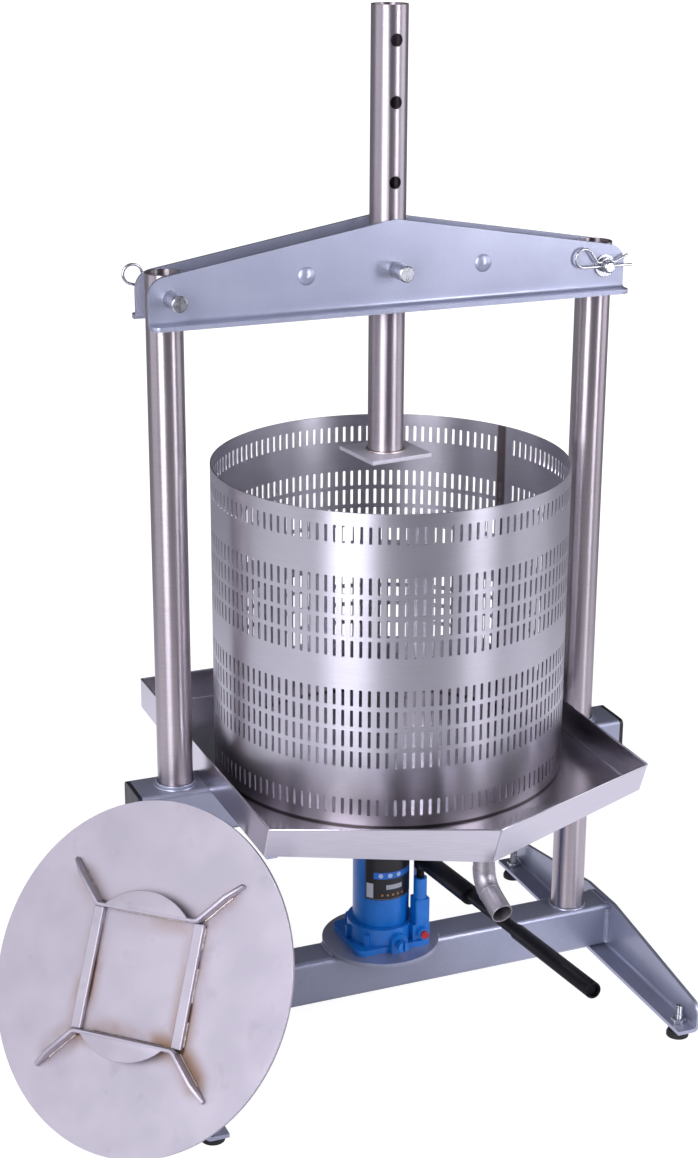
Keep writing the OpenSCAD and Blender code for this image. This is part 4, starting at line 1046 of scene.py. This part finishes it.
def studio():
    """A pale floor, soft lamps and the photograph's camera."""
    deselect()
    bpy.ops.mesh.primitive_circle_add(vertices=96, radius=FLOOR_RADIUS, fill_type="NGON")
    floor = bpy.context.object
    floor.name = "studio_floor"
    made, tree = new_material("white_paper")
    place = add(tree, "TexCoord").outputs["Object"]
    rays = add(tree, "LightPath").outputs
    fibre = add(tree, "TexNoise", {"Vector": place, "Scale": 1 / (400 * MM), "Detail": 3})
    paper = add(
        tree, "Mix", {"Factor": fibre, MIX_A: rgb("#F3F3F4"), MIX_B: rgb("#F8F8F9")}, data_type="RGBA"
    )
    lit = add(tree, "BsdfDiffuse", {"Color": paper})
    # Metal sees the white sheet near the press, darkened right under the press by a painted shadow, and a
    # dim studio floor beyond it.
    out = add(tree, "VectorMath", {0: place}, operation="LENGTH")
    sheet = add(
        tree,
        "MapRange",
        {"Value": out, "From Min": 0.9, "From Max": 2.2, "To Min": 1.0, "To Max": 0.3},
        **SMOOTH,
    )
    # Painted shadow of the press on the floor that metal sees: its glow falls to a third close under the
    # press.
    floor_shadow = add(
        tree,
        "MapRange",
        {"Value": out, "From Min": 0.12, "From Max": 0.42, "To Min": 0.3, "To Max": 1},
        **SMOOTH,
    )
    forward = add(tree, "VectorMath", {0: place, 1: DIM_SIDE}, operation="DOT_PRODUCT")
    dusk = add(
        tree, "MapRange", {"Value": forward, "From Min": 0.7, "From Max": 1.5, "To Min": 1, "To Max": 0.45}
    )
    shaded = add(tree, "Math", {0: sheet, 1: floor_shadow}, operation="MULTIPLY")
    metal = add(tree, "Math", {0: shaded, 1: dusk}, operation="MULTIPLY")
    seen = add(tree, "Math", {0: rays["Is Camera Ray"], 1: metal}, operation="MAXIMUM")
    # Mixed with the lit paper, this comes out white.
    bright = add(tree, "Math", {0: seen, 1: 1.18}, operation="MULTIPLY")
    tint = add(
        tree,
        "Mix",
        {"Factor": rays["Is Camera Ray"], MIX_A: rgb("#F3F1FF"), MIX_B: rgb("#FFFFFF")},
        data_type="RGBA",
    )
    glow = add(tree, "Emission", {"Color": tint, "Strength": bright})
    shiny = add(
        tree, "Math", {0: rays["Is Glossy Ray"], 1: rays["Is Transmission Ray"]}, operation="MAXIMUM"
    )
    either = add(tree, "Math", {0: rays["Is Camera Ray"], 1: shiny}, operation="MAXIMUM")
    own = add(tree, "MapRange", {"Value": out, "From Min": 0.8, "From Max": 2, "To Min": 0.8, "To Max": 1})
    share = add(tree, "Math", {0: either, 1: own}, operation="MULTIPLY")
    both = add(tree, "MixShader", {0: share, 1: lit, 2: glow})
    add(tree, "OutputMaterial", {"Surface": both})
    floor.data.materials.append(made)

    world = bpy.data.worlds.new("studio")
    bpy.context.scene.world = world
    world.use_nodes = True
    tree = world.node_tree
    tree.nodes.clear()
    rays = add(tree, "LightPath").outputs
    direction = add(tree, "TexCoord").outputs["Generated"]
    height = add(tree, "SeparateXYZ", {"Vector": direction})
    up = add(tree, "MapRange", {"Value": height.outputs["Z"], "From Min": 0.0, "From Max": 0.7})
    walls = add(tree, "Mix", {"Factor": up, MIX_A: rgb("#B2B2BE"), MIX_B: rgb("#4C4C56")}, data_type="RGBA")
    # The room behind the camera is dim.
    behind = add(tree, "VectorMath", {0: direction, 1: DIM_SIDE}, operation="DOT_PRODUCT")
    dim = add(
        tree,
        "MapRange",
        {"Value": behind, "From Min": 0.8, "From Max": 0.98, "To Min": 0.75, "To Max": 0.12},
        **SMOOTH,
    )
    beyond = add(tree, "VectorMath", {0: direction, 1: BACK_SIDE}, operation="DOT_PRODUCT")
    dark = add(
        tree,
        "MapRange",
        {"Value": beyond, "From Min": 0.3, "From Max": 0.9, "To Min": 1, "To Max": 0.4},
        **SMOOTH,
    )
    level = add(tree, "Math", {0: dim, 1: dark}, operation="MULTIPLY")
    soft = add(tree, "Background", {"Color": walls, "Strength": level})
    white = add(tree, "Background", {"Color": rgb("#FFFFFF"), "Strength": 1})
    sky = add(tree, "MixShader", {0: rays["Is Camera Ray"], 1: soft, 2: white})
    add(tree, "OutputWorld", {"Surface": sky})

    for name, azimuth, distance, height, size, power in LAMPS:
        data = bpy.data.lights.new(name, "AREA")
        data.shape = "RECTANGLE"
        data.size, data.size_y = size
        data.energy = power
        data.color = LAMP_TINT
        lamp = bpy.data.objects.new(name, data)
        bpy.context.scene.collection.objects.link(lamp)
        turn = math.radians(azimuth)
        lamp.location = LAMP_TARGET + distance * Vector((math.cos(turn), math.sin(turn), 0))
        lamp.location.z = height
        lamp.rotation_mode = "QUATERNION"
        lamp.rotation_quaternion = (LAMP_TARGET - lamp.location).to_track_quat("-Z", "Y")

    data = bpy.data.cameras.new("camera")
    data.lens = CAMERA_LENS
    data.sensor_width = SENSOR
    data.clip_end = VIEW_END
    camera = bpy.data.objects.new("camera", data)
    bpy.context.scene.collection.objects.link(camera)
    ahead = Vector((
        math.sin(CAMERA_YAW) * math.cos(CAMERA_PITCH),
        math.cos(CAMERA_YAW) * math.cos(CAMERA_PITCH),
        -math.sin(CAMERA_PITCH),
    ))
    aside = Vector((math.cos(CAMERA_YAW), -math.sin(CAMERA_YAW), 0))
    upward = aside.cross(ahead)
    right = aside * math.cos(CAMERA_ROLL) + upward * math.sin(CAMERA_ROLL)
    up = upward * math.cos(CAMERA_ROLL) - aside * math.sin(CAMERA_ROLL)
    camera.matrix_world = Matrix.Translation(CAMERA_AT) @ Matrix((right, up, -ahead)).transposed().to_4x4()
    bpy.context.scene.camera = camera
    bpy.context.scene.view_settings.view_transform = "Standard"


coat = powder_coat()
basket_low, basket_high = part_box("basket")
basket_middle = (basket_low + basket_high) / 2
basket_radius = (basket_high.x - basket_low.x - SHEET) / 2
seam_at = basket_middle + basket_radius * Vector((math.cos(SEAM_ANGLE), math.sin(SEAM_ANGLE), 0))
# Painted shade over the basket's foot: a broad band stands in for the dark tray floor's reflection, and a
# thin dark line for its contact shadow on the tray.
painted_shades = (
    (basket_low.z + PAINTED_SHADE_FULL, basket_low.z + PAINTED_SHADE_END, 0.6, "#6A5D5C"),
    (basket_low.z + FOOT_SHADOW_FULL, basket_low.z + FOOT_SHADOW_END, 0.9, "#2E2626"),
)
# Brushed tube of the columns: long soft streaks of light down its length.
tube_steel = brushed_steel("brushed_tube", "#BDB5B8", "#B2AAAD", (0.3, 0.36), ROUND_GRAIN, 0.85)
# Satin tube of the rod: broader and duller streaks.
rod_steel = brushed_steel("satin_tube", "#BFB7BB", "#B4ACB0", (0.4, 0.48), ROUND_GRAIN, 0.85)
# Rolled sheet of the basket: bright and dark bands up its wall, a brown seam, and painted shade over its
# foot: a painted reflection of the tray's dark floor and a painted contact shadow.
sheet_steel = brushed_steel(
    "brushed_sheet", "#D2D0D7", "#CAC8CF", (0.3, 0.34), ROUND_GRAIN, 0.7, seam_at, painted_shades
)
# Folded sheet of the tray: bright, fairly clear reflections.
tray_steel = brushed_steel("brushed_tray", "#D5D2D9", "#CAC7CE", (0.2, 0.26), ROUND_GRAIN)
# Ground plate of the rod's foot: pale and matt.
foot_steel = brushed_steel("brushed_plate", "#EAE8EE", "#DEDCE2", (0.58, 0.68), FOOT_GRAIN)
# Bent pipe of the spout: dull grey.
spout_steel = brushed_steel("brushed_spout", "#A6A2A6", "#98949A", (0.42, 0.5), SPOUT_GRAIN)
# Press plate and its bars: pale, with brown where they are welded.
disc_steel = plate_steel("tinted_plate", True)
bar_steel = plate_steel("tinted_bar", False)
# Weld metal: dull and brown where it was hot.
bead_steel = mottled("weld_metal", "#C9C3C0", "#A3968C", 5, (0.34, 0.46), metallic=1.0)
# Weld runs of the frame: coloured a little lighter than the coat, a painted sheen; their ripples shine
# through a thin coat.
coat_bead = mottled("painted_weld", "#B4B7C8", "#A2A5B6", 5, (0.34, 0.42), metallic=0.7)
# Bright zinc plating, a little cloudy.
zinc = mottled("zinc_plate", "#C9CBCF", "#B6B8BB", 6, (0.24, 0.32), metallic=1.0)
# Ground and chromed ram: a clear mirror.
chrome = mottled("hard_chrome", "#D8D8DA", "#CCCCCE", 8, (0.08, 0.14), metallic=1.0)
# Moulded rubber: matt with a dusty bloom.
rubber = mottled("black_rubber", "#202022", "#141415", 10, (0.7, 0.85), grain_mm=1.2)
# Soft red stopper.
stopper = mottled("red_rubber", "#B3262A", "#96191D", 4, (0.42, 0.55), grain_mm=1.0)
# Moulded polythene caps: satin with a fine grain.
plastic = mottled("black_plastic", "#222226", "#18181B", 12, (0.4, 0.52), grain_mm=1.0)
# Gloss enamel over a casting: deep blue with a wavy skin.
enamel = mottled("blue_enamel", "#0B72C8", "#0864B4", 25, (0.3, 0.4), coat=0.12, grain_mm=3.0)
# Stove-enamelled handle: near-black with a soft gloss.
handle_black = mottled("black_enamel", "#0B0B0F", "#08080A", 20, (0.36, 0.44), shine=0.16)

finish_nodes(coat, *PAINTED)
finish_nodes(tube_steel, *COLUMNS)
finish_nodes(rod_steel, "press_rod")
finish_nodes(spout_steel, "spout")
finish_nodes(tray_steel, "tray")
finish_nodes(foot_steel, "rod_foot")
finish_nodes(disc_steel, "press_disc")
finish_nodes(bar_steel, "socket_side_bars")
finish_nodes(zinc, *PINS, "levelling_nuts", "pin_washers", "plunger_pin")
finish_nodes(zinc, "pivot_pin", "jack_cylinder", "extension_screw")
finish_nodes(chrome, "jack_ram")
finish_nodes(rubber, *RUBBERS)
finish_nodes(stopper, "filler_plug")
finish_nodes(plastic, *END_CAPS)
finish_nodes(enamel, "jack_base", "jack_reservoir", "jack_gland", "pump_barrel", "release_valve")
finish_nodes(handle_black, "pump_plunger", "handle_socket", "handle_rod")

soften(1.0 * MM, *PAINTED)
soften(0.7 * MM, "tray")
soften(0.5 * MM, "spout", "press_disc", "rod_foot", *PINS, "pin_washers")
soften(1.2 * MM, "socket_side_bars", *END_CAPS)
soften(1.6 * MM, "jack_base", "pump_barrel", *RUBBERS)
soften(0.8 * MM, "levelling_nuts", "jack_gland", "jack_reservoir", "release_valve", "filler_plug")
soften(0.8 * MM, "pump_plunger", "handle_socket", "handle_rod")

hand_over(slotted_sheet(), "slotted_basket", sheet_steel, "basket", ["basket"], SLOT_SHARP)
hand_over(seam_bead(seam_at), "basket_seam", sheet_steel, "basket")
clip_places = []
for side in SIDES:
    pin = middle_of(f"{side}_pin")
    wire = middle_of(f"{side}_clip")
    turn = LEFT_CLIP_TURN if side == "left" else 0
    clip_places.append(Matrix.Translation((pin.x, wire.y, pin.z)) @ Matrix.Rotation(turn, 4, "Y"))
for side, clip in zip(SIDES, copies(spring_clip(), clip_places)):
    hand_over(clip, f"{side}_wire_clip", zinc, "frame", [f"{side}_clip"])
stud_low, stud_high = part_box(f"{CORNERS[0]}_stud")
stud_places = [Matrix.Translation(middle_of(f"{corner}_stud")) for corner in CORNERS]
bar = threaded_bar((stud_high.x - stud_low.x) / 2, stud_high.z - stud_low.z, STUD_PITCH)
for corner, stud in zip(CORNERS, copies(bar, stud_places)):
    hand_over(stud, f"{corner}_threaded_stud", zinc, f"{corner}_foot", [f"{corner}_stud"])
hand_over(frame_beads(), "frame_welds", coat_bead, "frame")
hand_over(sleeve_beads(), "sleeve_welds", coat_bead, "table")
hand_over(rod_bead(), "rod_weld", bead_steel, "frame")
hand_over(tray_edges(), "tray_edges", tray_steel, "tray")
face_turn = plate_turn() @ Matrix.Translation((0, 0, PLATE_THICK / 2))
rib_places = [face_turn, face_turn @ Matrix.Rotation(math.pi, 4, "Z")]
for side, rib in zip(("upper", "lower"), copies(bent_rib(), rib_places)):
    hand_over(rib, f"bent_{side}_rib", bar_steel, "press_plate", [f"{side}_rib"])
hand_over(hollow_grip(), "hollow_grip", handle_black, "handle", ["handle_grip"])
hand_over(plate_beads(), "plate_welds", bead_steel, "press_plate")
jack_low, jack_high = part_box("jack_reservoir")
film_low, film_high = jack_low.z + FILM_OVER_BASE, jack_high.z - FILM_UNDER_TOP
label = label_patch(film_low, film_high)
hand_over(label, "bare_label", label_film(film_low, film_high), "frame")
studio()
